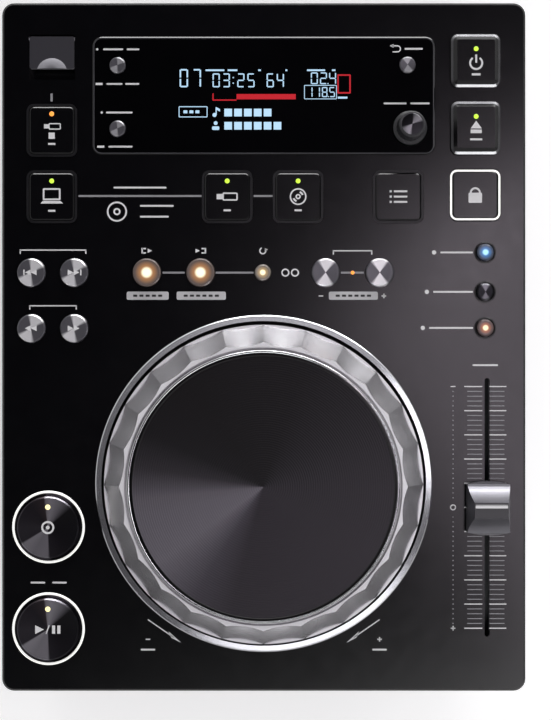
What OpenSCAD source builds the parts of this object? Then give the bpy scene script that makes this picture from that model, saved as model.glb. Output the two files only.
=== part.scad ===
// Tabletop disc player for mixing music: slot-in drive, jog wheel, transport and loop
// buttons, square keys, display window, tempo slider and a USB socket under a small cover.
// Lengths are in mm. X runs to the right, Y to the back and Z up. The origin is on the
// table, below the middle of the player, from its front edge to the ends of its jacks.

/* [Deck] */
// Width of the deck
deck_w = 218; // [212:1:230]
// Depth of the deck, front to back
deck_d = 286.5; // [280:0.5:300]
// Height of the deck surface above the table
deck_z = 89; // [86:0.5:100]
// Radius of the deck's corners
deck_r = 5; // [3:0.5:8]
// Width of the bevel round the deck's edge
bevel_w = 0.9; // [0.6:0.1:3.5]
// Drop of the bevel round the deck's edge
bevel_h = 0.8; // [0.5:0.1:1.6]
// Thickness of the deck plate
deck_t = 2.5; // [2:0.1:3.5]
// Height of the skirt below the deck surface
skirt_h = 18; // [14:1:24]
// Thickness of the skirt
skirt_t = 2.5; // [2:0.1:3]

/* [Case] */
// Gap between the skirt and the case inside it
case_gap = 0.3; // [0.2:0.05:0.5]
// Wall of the lower case
case_wall = 2.6; // [2:0.1:3.5]
// Depth of the groove that runs round the case
groove_depth = 0.8; // [0.4:0.1:1.2]
// Width of the groove that runs round the case
groove_w = 1.6; // [1:0.1:3]
// Height of the feet
foot_h = 4.5; // [3:0.5:6]
// Radius of the feet
foot_r = 9; // [7:0.5:11]
// Distance of the feet from the case's edges
foot_inset = 24; // [20:1:30]
// Thickness of the bottom plate
plate_t = 1.2; // [0.8:0.1:2]
// Length of a vent slot in the bottom plate
vent_len = 30; // [20:1:34]
// Radius of the screws' shanks
screw_r = 1.5; // [1.2:0.1:1.8]

/* [Disc slot and drive] */
// Diameter of the disc
disc_d = 120; // [118:1:122]
// Height of the middle of the disc slot
slot_z = 38; // [36:0.5:42]
// Height of the disc slot
slot_h = 6.4; // [5.6:0.1:8]
// Distance of the loaded disc's centre from the front edge
disc_f = 75; // [74:0.5:78]
// Travel of the optical pickup along its rods
pickup_travel = 36; // [30:1:38]
// Lead of the pickup's screw, its travel in one turn
screw_lead = 3; // [2:0.5:4]
// Radius of the loading roller at its ends
roller_r = 2.8; // [2.4:0.1:3]
// Teeth of the roller's gear
roller_teeth = 24; // [20:1:26]
// Teeth of the loading gear
loading_teeth = 30; // [26:1:34]

/* [Jog wheel] */
// Distance of the jog wheel's axis from the front edge
jog_f = 86.5; // [84:0.1:90]
// Outer radius of the jog wheel
jog_r = 65.9; // [60:0.1:67]
// Radius of the jog wheel's rim at the top
jog_rim_r = 58.7; // [57:0.1:60]
// Height of the top disc above the deck
jog_h = 17.5; // [15:0.5:22]
// Number of scooped dimples round the wheel
scoops = 24; // [20:1:28]
// Radius of a dimple's curve at the wheel's rim
scoop_r = 27; // [20:1:32]
// Half angle of the cone that cuts each dimple: the more, the flatter its foot
scoop_spread = 76; // [60:1:80]
// Depth of a dimple at the wheel's rim
scoop_depth = 1.65; // [1:0.05:2.2]
// Depth of a dimple at the wheel's foot
scoop_foot = 1.05; // [0.6:0.05:1.4]
// Radius of the top disc
top_disc_r = 55.4; // [50:0.1:56]
// Travel of the top disc when it is pressed
top_disc_travel = 0.4; // [0.2:0.1:0.5]
// Width of the gap round the jog wheel
jog_gap = 1.7; // [1.5:0.1:4]
// Width of the trim ring's flange
trim_w = 2.6; // [2:0.1:3.5]
// Radius of the jog wheel's shaft
jog_shaft_r = 4; // [3:0.1:5]
// Teeth of the gear on the jog wheel's shaft
jog_teeth = 75; // [70:1:80]
// Teeth of the damper's pinion
pinion_teeth = 15; // [14:1:18]

/* [Buttons] */
// Radius of the cue and play caps
transport_r = 12.8; // [11:0.1:13]
// Outer radius of the lit rings round cue and play
transport_ring_r = 15.1; // [14.5:0.1:15.5]
// Width of those lit rings
transport_ring_w = 1; // [1:0.1:1.6]
// Radius of the small round caps
small_r = 5.8; // [5:0.1:6.4]
// Radius of the reloop cap and of the caps beside the display
tiny_r = 3.3; // [2.8:0.1:3.8]
// Radius of the three side caps
side_r = 3.4; // [3:0.1:4]
// Height of the small round caps above the deck
small_h = 1.8; // [1:0.1:3]
// Height of the cue and play caps above the deck
transport_h = 2.6; // [1.5:0.1:4]
// Width of a square key's frame
key_w = 21.1; // [19:0.1:22]
// Depth of a square key's frame
key_d = 22; // [20:0.1:23]
// Corner radius of a square key's frame
key_r = 3.2; // [2:0.1:5]
// Width of the line that a key's frame shows
frame_w = 1; // [0.8:0.1:1.4]
// Width of a raised key
raised_w = 20.4; // [18:0.1:21]
// Depth of a raised key
raised_d = 21.8; // [19:0.1:22.4]
// Height of a raised key above the deck
raised_h = 3.2; // [2:0.1:4.5]
// Width of a raised key's bevel
raised_bevel = 2.4; // [1:0.1:2.6]
// Travel of every button and key
key_travel = 0.8; // [0.4:0.1:1]
// Clearance round every button and key
key_gap = 0.3; // [0.2:0.05:0.45]

/* [Display] */
// Width of the display window
window_w = 142.7; // [138:0.1:146]
// Depth of the display window
window_d = 49.2; // [47:0.1:50]
// Distance of the window's centre from the deck's rear edge
window_rear = 38.7; // [37:0.1:40]
// Thickness of the display window
window_t = 1.8; // [1.4:0.1:2]
// Radius of the select knob's skirt
knob_r = 7; // [6:0.1:7.5]
// Height of the select knob above the deck
knob_h = 12; // [9:0.5:15]
// Travel of the select knob when it is pressed
knob_travel = 0.5; // [0.3:0.1:0.6]

/* [Tempo slider] */
// Travel of the slider from end to end
slider_travel = 100; // [90:1:102]
// Distance of the slider's middle from the front edge
slider_f = 76.5; // [75.5:0.5:79]
// Width of the slider's slot
slider_slot_w = 2.2; // [1.8:0.1:3]
// Width of the slider's cap
cap_w = 17.8; // [16:0.1:20]
// Length of the slider's cap along its travel
cap_l = 22.2; // [20:0.1:25]
// Height of the slider's cap above the deck
cap_h = 13; // [9:0.5:14]
// Height of the cap's two ends above the deck
cap_end_h = 4.6; // [3:0.1:6]
// Width of the cap at its ridge
ridge_w = 13.8; // [11:0.1:15]
// Length of the cap's flat ridge
ridge_l = 6.4; // [4:0.1:8]
// How far each end of the cap bows out
end_bow = 1.2; // [0.5:0.1:2]

/* [USB cover] */
// Width of the USB cover
cover_w = 18.6; // [18:0.1:21]
// Depth of the USB cover
cover_d = 13.8; // [13:0.1:15]
// Thickness of the USB cover
cover_t = 1.6; // [1.2:0.1:2]
// Width of the finger gap in front of the cover
finger_gap = 4.6; // [4.2:0.1:6]
// Radius of the cover's raised finger tab
tab_r = 6.3; // [4:0.1:7]

/* [Rear sockets] */
// Length of a phono socket's barrel
phono_len = 10.2; // [8:0.1:12]
// Radius of a phono socket's barrel
phono_r = 4.15; // [4:0.05:4.2]
// Thickness of a phono socket's collar
collar_t = 3.5; // [3:0.5:6]
// Radius of the control socket's hole
control_r = 1.8; // [1.7:0.05:1.9]

/* [Hidden] */
$fn = 64;

// Small gaps that several pieces share
fit = 0.03;         // radial clearance of a shaft in its bearing
seat = 0.1;         // clearance of a piece in the seat that holds it
eps = 0.5;          // how far a cutter runs past the face that it opens
hole_chamfer = 0.5; // bevel on the edges of caps

// Overall places
case_inset = skirt_t + case_gap;
case_w = deck_w - 2 * case_inset;
case_d = deck_d - 2 * case_inset;
rear_plate_t = 1;
total_d = deck_d - case_inset + rear_plate_t + collar_t + phono_len;
front_y = -total_d / 2;
deck_y = front_y + deck_d / 2;
under_z = deck_z - deck_t;
plate_top = foot_h + plate_t;
foot_bevel = 3;
case_top = under_z - 2;
function fy(f) = front_y + f;

// Places of the controls. Columns count from the deck's sides, rows from the jog wheel
// or from the deck's rear edge.
trim_inner_r = jog_r + jog_gap;
trim_outer_r = trim_inner_r + trim_w;
loop_row = jog_f + trim_outer_r + 17.5;
mid_row = deck_d - 80.7;
window_f = deck_d - window_rear;
transport_x = -(deck_w / 2 - 19.5);
side_strip_x = (deck_w + window_w) / 4;
left_key_x = 2 - side_strip_x;
right_key_x = side_strip_x - 2.2;
side_x = deck_w / 2 - 16.9;
slider_x = deck_w / 2 - 16;
window_column_x = window_w / 2 - 10.6;
knob_x = window_column_x;
PLAY = [transport_x, 26.1];
CUE = [transport_x, 68.4];
SEARCH_BACK = [transport_x - 7.1, loop_row - 23.2];
SEARCH_NEXT = [transport_x + 10.7, loop_row - 23.2];
TRACK_BACK = [transport_x - 7.1, loop_row];
TRACK_NEXT = [transport_x + 10.7, loop_row];
LOOP_IN = [-48.6, loop_row];
LOOP_OUT = [-26.3, loop_row];
RELOOP = [-0.4, loop_row];
BEAT_MINUS = [25.7, loop_row];
BEAT_PLUS = [48.2, loop_row];
JOG_MODE = [side_x, loop_row + 8.4];
TEMPO_RANGE = [side_x, loop_row - 8];
KEY_HOLD = [side_x, loop_row - 23];
TIME = [-window_column_x, window_f + 12.5];
TEXT = [-window_column_x, window_f - 13.8];
BACK = [knob_x - 1, window_f + 12.7];
SELECT = [knob_x, window_f - 13.6];
LINK = [left_key_x, mid_row];
USB = [-15.2, mid_row];
DISC = [14.3, mid_row];
LIST = [56, mid_row];
LOCK = [right_key_x, mid_row + 0.7];
USB_STOP = [left_key_x, deck_d - 53.1];
POWER = [right_key_x, deck_d - 24.4];
EJECT = [right_key_x, deck_d - 52.3];
SMALL_BUTTONS = [
    SEARCH_BACK, SEARCH_NEXT, TRACK_BACK, TRACK_NEXT,
    LOOP_IN, LOOP_OUT, BEAT_MINUS, BEAT_PLUS
];
SIDE_BUTTONS = [JOG_MODE, TEMPO_RANGE, KEY_HOLD];
WINDOW_BUTTONS = [TIME, TEXT, BACK];
FLUSH_KEYS = [LINK, USB, DISC, LIST, LOCK, USB_STOP];
RAISED_KEYS = [POWER, EJECT];

// Heights of what is below the deck
flange_t = 1;
flange_rim = 1;
stem_h = 5;
stem_r = 2;
switch_h = 4;
board_t = 1.6;
stem_z = under_z - seat - flange_t - stem_h;
switch_top = stem_z - key_travel - seat;
board_top = switch_top - switch_h;
board_z = board_top - board_t;
board_post_r = 1.8;
spacer_h = 8;
supply_w = 50;

// Jog wheel heights, from the deck surface
disc_t = 2.5;
rim_h = jog_h - 1.6;
ledge_h = 5;
skirt_drop = deck_t;
wheel_floor = jog_h - disc_t - top_disc_travel - 0.4;
wheel_web = 2.6;
wheel_shell = 4.5;
hub_r = 9;
rim_inner_r = top_disc_r + 1;
pan_floor = deck_z - 24.5;
pan_t = 2.5;
pan_wall = 2.4;
pan_r = trim_outer_r + 3;
bearing_top = pan_floor + 6;
gear_m = 0.8;
gear_z = bearing_top + 1.5;
gear_t = 3;
spindle_z = pan_floor - pan_t - 6;
damper_dist = gear_m * (jog_teeth + pinion_teeth) / 2;
damper_angle = -360 / jog_teeth * round(jog_teeth / 3);
damper_r = 8;

// Drive places
drive_wall = 1.2;
drive_w = disc_d + 6;
drive_f0 = 8;
drive_len = disc_d + 33;
drive_z = slot_z - 14;
disc_low = slot_z - 0.6;
roller_f = 20;
roller_z = slot_z - 5;
drive_m = 0.5;
loading_dist = drive_m * (roller_teeth + loading_teeth) / 2;
rod_z = slot_z - 8;
rod_x = 19;
rod_r = 1.5;
lead_x = 28;
motor_r = 13;
pickup_l = 22;
pickup_f = disc_f + motor_r + 1 + pickup_l / 2;
rod_start = disc_f + 8.5;
rod_end = pickup_f + pickup_travel + pickup_l / 2 + 3;
arm_pivot_f = disc_f + 80;
arm_z = slot_z + 7;

// USB cover and its well
well_f0 = deck_d - 13.6 - cover_d - finger_gap;
cover_f0 = well_f0 + finger_gap;
well_d = finger_gap + cover_d + key_gap;
well_depth = 6;
hinge_r = 0.8;
hinge_f = cover_f0 + cover_d - 1.4;
hinge_z = deck_z - 0.9;
usb_w = 13.1;
usb_h = 5.7;
usb_f = cover_f0 + 5.6;

// Screw places, from the middle of the deck
post_r = 3.6;
post_in = case_wall + post_r - 0.3;
post_x = case_w / 2 - post_in;
post_ys = [post_in - case_d / 2, loop_row + 13.8 - deck_d / 2, case_d / 2 - post_in];
panel_post_r = post_r - 0.6;
post_split = deck_z - 27;

// Disc slot
slot_w = disc_d + 8;
bezel_w = slot_w + 12;
bezel_h = slot_h + 9;
bezel_out = 1.2;

// Rear
sock_z = 34;
rear_face = deck_d - case_inset + rear_plate_t;
rear_panel_w = 176;
rear_panel_h = 34;
PHONO_XS = [-6, 14];
CONTROL_X = 32;
USB_B_X = -34;
INLET_X = 70;

// Points of a rectangle with round corners
function round_rect(w, d, r, n = 6) = [
    for (c = [0:3], i = [0:n])
        let (a = 90 * (c + i / n), sx = (c == 0 || c == 3) ? 1 : -1, sy = c < 2 ? 1 : -1)
            [sx * (w / 2 - r) + r * cos(a), sy * (d / 2 - r) + r * sin(a)]
];

// Points of a spur gear with straight-sided teeth, a tooth's middle at angle 0
function gear_points(n, m) =
    let (p = 360 / n, root = m * (n / 2 - 1.15), tip = m * (n / 2 + 0.75))
        [for (i = [0:n - 1], t = [[root, -0.3], [tip, -0.1], [tip, 0.1], [root, 0.3]])
            t[0] * [cos((i + t[1]) * p), sin((i + t[1]) * p)]];

module at(spot, z = 0) {
    translate([spot[0], fy(spot[1]), z]) children();
}

module plate(w, d, h, r) {
    linear_extrude(h) polygon(round_rect(w, d, r));
}

// A plate whose upper edge is bevelled
module bevelled(w, d, h, r, bw, bh) {
    plate(w, d, h - bh, r);
    translate([0, 0, h - bh]) hull() {
        plate(w, d, 0.01, r);
        translate([0, 0, bh - 0.01]) plate(w - 2 * bw, d - 2 * bw, 0.01, max(r - bw, 0.6));
    }
}

module tube(outer, inner, h) {
    difference() {
        cylinder(r = outer, h = h);
        translate([0, 0, -eps]) cylinder(r = inner, h = h + 2 * eps);
    }
}

// Turns Z to X and X to Y, for what turns about the X axis
module along_x() {
    rotate([90, 0, 90]) children();
}

module screw_posts(z0, z1, r) {
    for (sx = [-1, 1], y = post_ys)
        translate([sx * post_x, deck_y + y, z0]) cylinder(r = r, h = z1 - z0);
}

module screw_holes(z0, z1, r) {
    for (sx = [-1, 1], y = post_ys)
        translate([sx * post_x, deck_y + y, z0]) cylinder(r = r, h = z1 - z0, $fn = 32);
}

// ---- Housing ----

module deck_openings() {
    at([0, jog_f], under_z - eps) cylinder(r = trim_inner_r + 1.3, h = deck_t + 2 * eps, $fn = 128);
    for (p = [CUE, PLAY])
        at(p, under_z - eps) cylinder(r = transport_ring_r + seat, h = deck_t + 2 * eps);
    for (p = SMALL_BUTTONS)
        at(p, under_z - eps) cylinder(r = small_r + key_gap, h = deck_t + 2 * eps);
    for (p = SIDE_BUTTONS)
        at(p, under_z - eps) cylinder(r = side_r + key_gap, h = deck_t + 2 * eps);
    at(RELOOP, under_z - eps) cylinder(r = tiny_r + key_gap, h = deck_t + 2 * eps);
    for (p = FLUSH_KEYS)
        at(p, under_z - eps) plate(key_w + 2 * seat, key_d + 2 * seat, deck_t + 2 * eps, key_r);
    for (p = RAISED_KEYS)
        at(p, under_z - eps)
            plate(raised_w + 2 * key_gap, raised_d + 2 * key_gap, deck_t + 2 * eps, key_r);
    at([slider_x, slider_f], under_z - eps)
        plate(slider_slot_w, slider_travel + 7.6, deck_t + 2 * eps, slider_slot_w / 2 - 0.01);
    at([0, window_f], deck_z - window_t)
        plate(window_w + 2 * seat, window_d + 2 * seat, window_t + eps, 4);
    at([0, window_f], under_z - eps) plate(window_w - 6, window_d - 6, deck_t, 3);
    at([left_key_x, well_f0 + well_d / 2], deck_z - well_depth)
        plate(cover_w + 2 * key_gap, well_d, well_depth + eps, 1);
}

module usb_well() {
    at([left_key_x, well_f0 + well_d / 2], deck_z - well_depth - 1.4)
        plate(cover_w + 2 * key_gap + 3, well_d + 3, well_depth + 1.4 - bevel_h, 2);
}

module hinge_pins(r, inner, outer) {
    for (s = [-1, 1])
        at([left_key_x + s * (inner + outer) / 2, hinge_f], hinge_z)
            rotate([0, 90, 0]) cylinder(r = r, h = outer - inner, center = true, $fn = 32);
}

// Posts that carry the control board and the display's board
module board_posts() {
    rear_of_loops = loop_row + 15.8;
    for (p = [
        [transport_x - 7.5, (PLAY[1] + CUE[1]) / 2],
        [transport_x - 7.5, rear_of_loops], [transport_x + 17.5, rear_of_loops], [68, rear_of_loops],
        [side_x - 12, loop_row - 24],
        [window_w / 2 + 3.6, (LOCK[1] + EJECT[1]) / 2]
    ]) at(p, board_top) board_post();
    for (sx = [-1, 1], sy = [-1, 1])
        at([sx * (window_w / 2 - 11.4), window_f + sy * (window_d / 2 + 0.6)], board_top) board_post();
}

module board_post() {
    cylinder(r = board_post_r, h = under_z - board_top + eps, $fn = 32);
}

module top_panel() {
    color("#2b2a2d")
    difference() {
        union() {
            difference() {
                translate([0, deck_y, deck_z - skirt_h])
                    bevelled(deck_w, deck_d, skirt_h, deck_r, bevel_w, bevel_h);
                translate([0, deck_y, deck_z - skirt_h - eps])
                    plate(deck_w - 2 * skirt_t, deck_d - 2 * skirt_t, skirt_h - deck_t + eps,
                        max(deck_r - skirt_t, 1));
            }
            usb_well();
            screw_posts(post_split, under_z + eps, panel_post_r);
            board_posts();
        }
        deck_openings();
        screw_holes(post_split - eps, post_split + 14, screw_r + seat);
        at([left_key_x, usb_f], deck_z - well_depth - 2)
            cube([usb_w + 2 * seat, usb_h + 2 * seat, 5], center = true);
        hinge_pins(hinge_r + 0.05, cover_w / 2 - 0.5, cover_w / 2 + 1.4);
    }
    // stops that the closed cover lies on
    color("#2b2a2d")
    for (s = [-1, 1]) at([left_key_x + s * (cover_w / 2 - 0.4), cover_f0 + 1.2], deck_z - well_depth - eps)
        translate([-1, -1, 0]) cube([2, 2, well_depth + eps - cover_t - 0.2]);
}

// The case's outline, moved in by shrink
module case_outline(h, shrink = 0) {
    plate(case_w - 2 * shrink, case_d - 2 * shrink, h, max(deck_r - shrink, 1));
}

module lower_case() {
    groove_z = deck_z - skirt_h - 12;
    color("#1c1c1f")
    difference() {
        union() {
            difference() {
                union() {
                    translate([0, deck_y, plate_top + foot_bevel])
                        case_outline(case_top - plate_top - foot_bevel);
                    translate([0, deck_y, plate_top]) hull() {
                        case_outline(0.01, foot_bevel / 2);
                        translate([0, 0, foot_bevel]) case_outline(0.01);
                    }
                }
                translate([0, deck_y, plate_top - eps]) case_outline(case_top, case_wall);
            }
            screw_posts(plate_top, post_split, post_r);
        }
        // groove round the outside
        translate([0, deck_y, groove_z]) difference() {
            case_outline(groove_w, -1);
            translate([0, 0, -eps]) case_outline(groove_w + 2 * eps, groove_depth);
        }
        // disc slot, with the bezel's seat
        translate([0, fy(case_inset), slot_z])
            cube([bezel_w - 4 + 2 * seat, 4 * case_wall, bezel_h - 3 + 2 * seat], center = true);
        // sockets at the back
        translate([0, fy(deck_d - case_inset), sock_z])
            cube([rear_panel_w - 8, 4 * case_wall, rear_panel_h - 8], center = true);
        screw_holes(plate_top - eps, post_split + eps, screw_r + seat);
        // vents in the sides
        for (sx = [-1, 1], i = [0:7])
            translate([sx * (case_w - case_wall) / 2, fy(198 + 8 * i), 24])
                cube([case_wall + 1, 3, 20], center = true);
    }
}

module bottom_plate() {
    color("#6f7072")
    difference() {
        translate([0, deck_y, foot_h]) case_outline(plate_t, foot_bevel / 2 + 0.3);
        screw_holes(foot_h - eps, plate_top + eps, screw_r + seat);
        for (sx = [-1, 1], i = [0:7])
            translate([sx * 50, fy(176 + 9 * i), foot_h + plate_t / 2])
                cube([vent_len, 3, 4 * plate_t], center = true);
    }
}

module feet() {
    color("#161616")
    for (sx = [-1, 1], sy = [-1, 1])
        translate([sx * (case_w / 2 - foot_inset), deck_y + sy * (case_d / 2 - foot_inset), 0])
            rotate_extrude()
                polygon([
                    [0, 1], [foot_r - 3, 1], [foot_r - 2.5, 0], [foot_r - 1.2, 0],
                    [foot_r, foot_h], [0, foot_h]
                ]);
}

module case_screws() {
    color("#3a3a3c")
    for (sx = [-1, 1], y = post_ys)
        translate([sx * post_x, deck_y + y, 0]) {
            translate([0, 0, foot_h - 1.6]) difference() {
                cylinder(r = 2 * screw_r, h = 1.6, $fn = 32);
                translate([0, 0, -eps]) cube([3, 0.7, 2 * eps + 0.6], center = true);
                translate([0, 0, -eps]) cube([0.7, 3, 2 * eps + 0.6], center = true);
            }
            translate([0, 0, foot_h]) cylinder(r = screw_r, h = post_split + 12 - foot_h, $fn = 32);
        }
}

module slot_bezel() {
    face_y = fy(case_inset) - bezel_out;
    color("#111113")
    difference() {
        union() {
            translate([0, face_y, slot_z]) rotate([-90, 0, 0])
                plate(bezel_w, bezel_h, bezel_out, 3);
            translate([0, face_y + bezel_out / 2, slot_z]) rotate([-90, 0, 0])
                plate(bezel_w - 4, bezel_h - 3, bezel_out / 2 + case_wall + 1.5, 2);
        }
        translate([0, face_y, slot_z]) cube([slot_w, 30, slot_h], center = true);
        // finger scoop below and above the slot
        translate([0, face_y - 26, slot_z - bezel_h / 2 + 1.2])
            cylinder(r = 28, h = bezel_h - 2.4, $fn = 128);
        // funnel that leads the disc in
        translate([0, face_y - 0.01, slot_z]) rotate([45, 0, 0])
            cube([slot_w, slot_h * 0.8, slot_h * 0.8], center = true);
    }
}

module rear_plate() {
    color("#77787a")
    difference() {
        translate([0, fy(rear_face) - rear_plate_t, sock_z]) rotate([-90, 0, 0])
            plate(rear_panel_w, rear_panel_h, rear_plate_t, 2);
        for (x = PHONO_XS) socket_hole(x, 5.2);
        socket_hole(CONTROL_X, 4.2);
        translate([USB_B_X, fy(rear_face), sock_z]) cube([12.2, 6, 11.2], center = true);
        translate([INLET_X, fy(rear_face), sock_z]) cube([24.2, 6, 16.2], center = true);
        for (x = [-70:5:-50])
            translate([x, fy(rear_face), sock_z]) cube([2, 6, 16], center = true);
    }
}

module socket_hole(x, r) {
    translate([x, fy(rear_face) - 3, sock_z]) rotate([-90, 0, 0]) cylinder(r = r, h = 6);
}

// ---- Display ----

module display_window() {
    color("#0c0c0e")
    difference() {
        at([0, window_f], deck_z - window_t)
            bevelled(window_w, window_d, window_t + 0.2, 4, 0.4, 0.3);
        for (p = WINDOW_BUTTONS)
            at(p, deck_z - window_t - eps) cylinder(r = tiny_r + key_gap, h = window_t + 2 * eps);
        at(SELECT, deck_z - window_t - eps) cylinder(r = knob_r + key_gap, h = window_t + 2 * eps);
    }
}

module display_module() {
    tube_d = window_d - 15;
    tube_w = window_w - 44;
    color("#1f4d38")
    difference() {
        at([0, window_f], board_z) plate(window_w - 3, window_d + 3, board_t, 1);
        at(SELECT, board_z - eps) cylinder(r = 3, h = board_t + 2 * eps);
    }
    color("#20242a") at([0, window_f], board_top)
        translate([-tube_w / 2, -tube_d / 2, 0]) cube([tube_w, tube_d, 8]);
    color("#333336")
    for (p = WINDOW_BUTTONS) at(p, board_top) switch_block();
    color("#8b8c90") difference() {
        at(SELECT, board_top) translate([-6, -6, 0]) cube([12, 12, 6]);
        at(SELECT, board_top - eps) cylinder(r = 3.5 + fit, h = 12);
    }
}

module switch_block() {
    translate([-3, -3, 0]) cube([6, 6, switch_h - 0.6]);
    cylinder(r = 1.7, h = switch_h);
}

// ---- Jog wheel ----

module jog_trim_ring() {
    color("#d8d8da")
    at([0, jog_f], deck_z) rotate_extrude($fn = 128)
        polygon([
            [trim_inner_r, -8], [trim_inner_r + 1, -8], [trim_inner_r + 1, 0],
            [trim_outer_r, 0], [trim_outer_r - 0.2, 0.7], [trim_outer_r - 0.6, 1],
            [trim_inner_r, 0]
        ]);
}

module jog_bearing() {
    color("#26262a")
    difference() {
        union() {
            at([0, jog_f], pan_floor - pan_t) rotate_extrude($fn = 128)
                polygon([
                    [0, 0], [pan_r, 0], [pan_r, under_z - pan_floor + pan_t],
                    [pan_r - pan_wall, under_z - pan_floor + pan_t],
                    [pan_r - pan_wall, pan_t], [0, pan_t]
                ]);
            at([0, jog_f], pan_floor - pan_t - 4)
                cylinder(r = hub_r, h = bearing_top - pan_floor + pan_t + 4);
            for (a = [0:60:300])
                at([0, jog_f], pan_floor - 0.1) rotate(a)
                    translate([hub_r + 5, -1, 0]) cube([pan_r - pan_wall - hub_r - 4, 2, 3]);
        }
        at([0, jog_f], pan_floor - pan_t - 5)
            cylinder(r = jog_shaft_r + fit, h = bearing_top - pan_floor + pan_t + 6);
        damper_place() translate([0, 0, pan_floor - 0.2]) cylinder(r = damper_r + 1, h = 8);
    }
}

module damper_place() {
    at([0, jog_f]) rotate(damper_angle) translate([damper_dist, 0, 0]) children();
}

module damper_body() {
    color("#3b3b3f")
    damper_place() difference() {
        union() {
            translate([0, 0, pan_floor - 0.2]) cylinder(r = damper_r, h = bearing_top - pan_floor);
            for (a = [60, 240]) rotate(a)
                translate([0, -2.5, pan_floor - 0.2]) cube([damper_r + 0.6, 5, 1.6]);
        }
        translate([0, 0, pan_floor + 1]) cylinder(r = 1.5 + fit, h = 10, $fn = 32);
    }
}

module damper_pinion() {
    color("#d9d6cc")
    damper_place() rotate(180 + 180 / pinion_teeth) {
        translate([0, 0, gear_z]) linear_extrude(gear_t) polygon(gear_points(pinion_teeth, gear_m));
        translate([0, 0, pan_floor + 1.2]) cylinder(r = 1.5, h = gear_z - pan_floor - 1, $fn = 32);
    }
}

// A wide cone that lies on the dimple's bottom line, with its point above the wheel's rim
module scoop_cutter(i) {
    run = jog_r - scoop_foot - jog_rim_r + scoop_depth;
    drop = rim_h - ledge_h;
    line_l = norm([run, drop]);
    point_l = scoop_r / tan(scoop_spread);
    lean = 90 + atan(drop / run) - scoop_spread;
    h = (point_l + line_l) * cos(scoop_spread) + 2 * scoop_depth;
    rotate((i + 0.5) * 360 / scoops)
        translate([
            jog_rim_r - scoop_depth - point_l * run / line_l, 0,
            rim_h + point_l * drop / line_l
        ]) rotate([0, lean, 0]) cylinder(r1 = 0, r2 = h * tan(scoop_spread), h = h, $fn = 128);
}

module jog_wheel() {
    color("#b9babd")
    at([0, jog_f], deck_z) {
        difference() {
            rotate_extrude($fn = 128)
                polygon([
                    [jog_r, ledge_h], [jog_rim_r, rim_h], [rim_inner_r, rim_h],
                    [rim_inner_r, wheel_floor], [3 + fit, wheel_floor],
                    [3 + fit, wheel_floor - wheel_web - 6],
                    [jog_shaft_r + 0.02, wheel_floor - wheel_web - 6],
                    [jog_shaft_r + 0.02, gear_z + gear_t + 1 - deck_z],
                    [hub_r, gear_z + gear_t + 1 - deck_z], [hub_r, wheel_floor - wheel_web],
                    [jog_rim_r - wheel_shell, wheel_floor - wheel_web],
                    [jog_r - wheel_shell, ledge_h]
                ]);
            for (i = [0:scoops - 1]) scoop_cutter(i);
        }
        rotate_extrude($fn = 128)
            polygon([
                [jog_r, ledge_h], [jog_r - wheel_shell, ledge_h],
                [jog_r - wheel_shell + 1, -skirt_drop], [jog_r - 0.4, -skirt_drop],
                [jog_r, 0.4 - skirt_drop]
            ]);
        // ribs below the wheel's web
        for (a = [0:60:300]) rotate(a)
            translate([hub_r - 1, -1, wheel_floor - wheel_web - 4])
                cube([jog_rim_r - wheel_shell - hub_r + 2, 2, 4.2]);
    }
}

module jog_spindle() {
    top = deck_z + wheel_floor - wheel_web - 6;
    color("#c8c9cb")
    at([0, jog_f]) {
        translate([0, 0, spindle_z]) cylinder(r = jog_shaft_r, h = top - spindle_z - seat);
        translate([0, 0, spindle_z + 0.6]) cylinder(r = jog_shaft_r + 2.5, h = 0.8);
    }
    color("#e3e0d6")
    at([0, jog_f], gear_z) difference() {
        linear_extrude(gear_t) polygon(gear_points(jog_teeth, gear_m));
        translate([0, 0, -eps]) cylinder(r = jog_shaft_r + 0.02, h = gear_t + 2 * eps);
        for (a = [0:60:300]) rotate(a)
            translate([17, 0, -eps]) cylinder(r = 5.5, h = gear_t + 2 * eps, $fn = 32);
    }
}

module jog_top() {
    color("#1e1d20")
    at([0, jog_f], deck_z) rotate_extrude($fn = 128)
        polygon([
            [0, wheel_floor - 5], [3, wheel_floor - 5], [3, jog_h - disc_t],
            [top_disc_r, jog_h - disc_t], [top_disc_r, jog_h - 0.5],
            [top_disc_r - 0.5, jog_h], [top_disc_r - 2, jog_h], [top_disc_r - 2.4, jog_h - 0.3],
            [0, jog_h - 0.3]
        ]);
}

// ---- Buttons ----

module cap(r, h, lens_r = 0) {
    difference() {
        rotate_extrude()
            polygon([
                [0, under_z - seat - flange_t - stem_h], [stem_r, under_z - seat - flange_t - stem_h],
                [stem_r, under_z - seat - flange_t], [r + key_gap + flange_rim, under_z - seat - flange_t],
                [r + key_gap + flange_rim, under_z - seat], [r, under_z - seat],
                [r, deck_z + h - hole_chamfer], [r - hole_chamfer, deck_z + h],
                [0, deck_z + h - 0.15]
            ]);
        if (lens_r > 0)
            translate([0, 0.66 * r, deck_z + h - 1]) cylinder(r = lens_r, h = 2, $fn = 32);
    }
}

module small_button(spot, r, tint) {
    color(tint) at(spot) cap(r, small_h);
}

module window_button(spot) {
    color("#8e8f93") at(spot) cap(tiny_r, small_h);
}

module transport_button(spot) {
    color("#2a2a2d") at(spot) cap(transport_r, transport_h, 1.1);
}

module transport_rings() {
    color("#f2f2ee")
    for (p = [CUE, PLAY]) at(p) rotate_extrude()
        polygon([
            [transport_ring_r - transport_ring_w, under_z], [transport_ring_r, under_z],
            [transport_ring_r, deck_z + 0.5], [transport_ring_r - 0.4, deck_z + 0.9],
            [transport_ring_r - transport_ring_w + 0.4, deck_z + 0.9],
            [transport_ring_r - transport_ring_w, deck_z + 0.5]
        ]);
}

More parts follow.
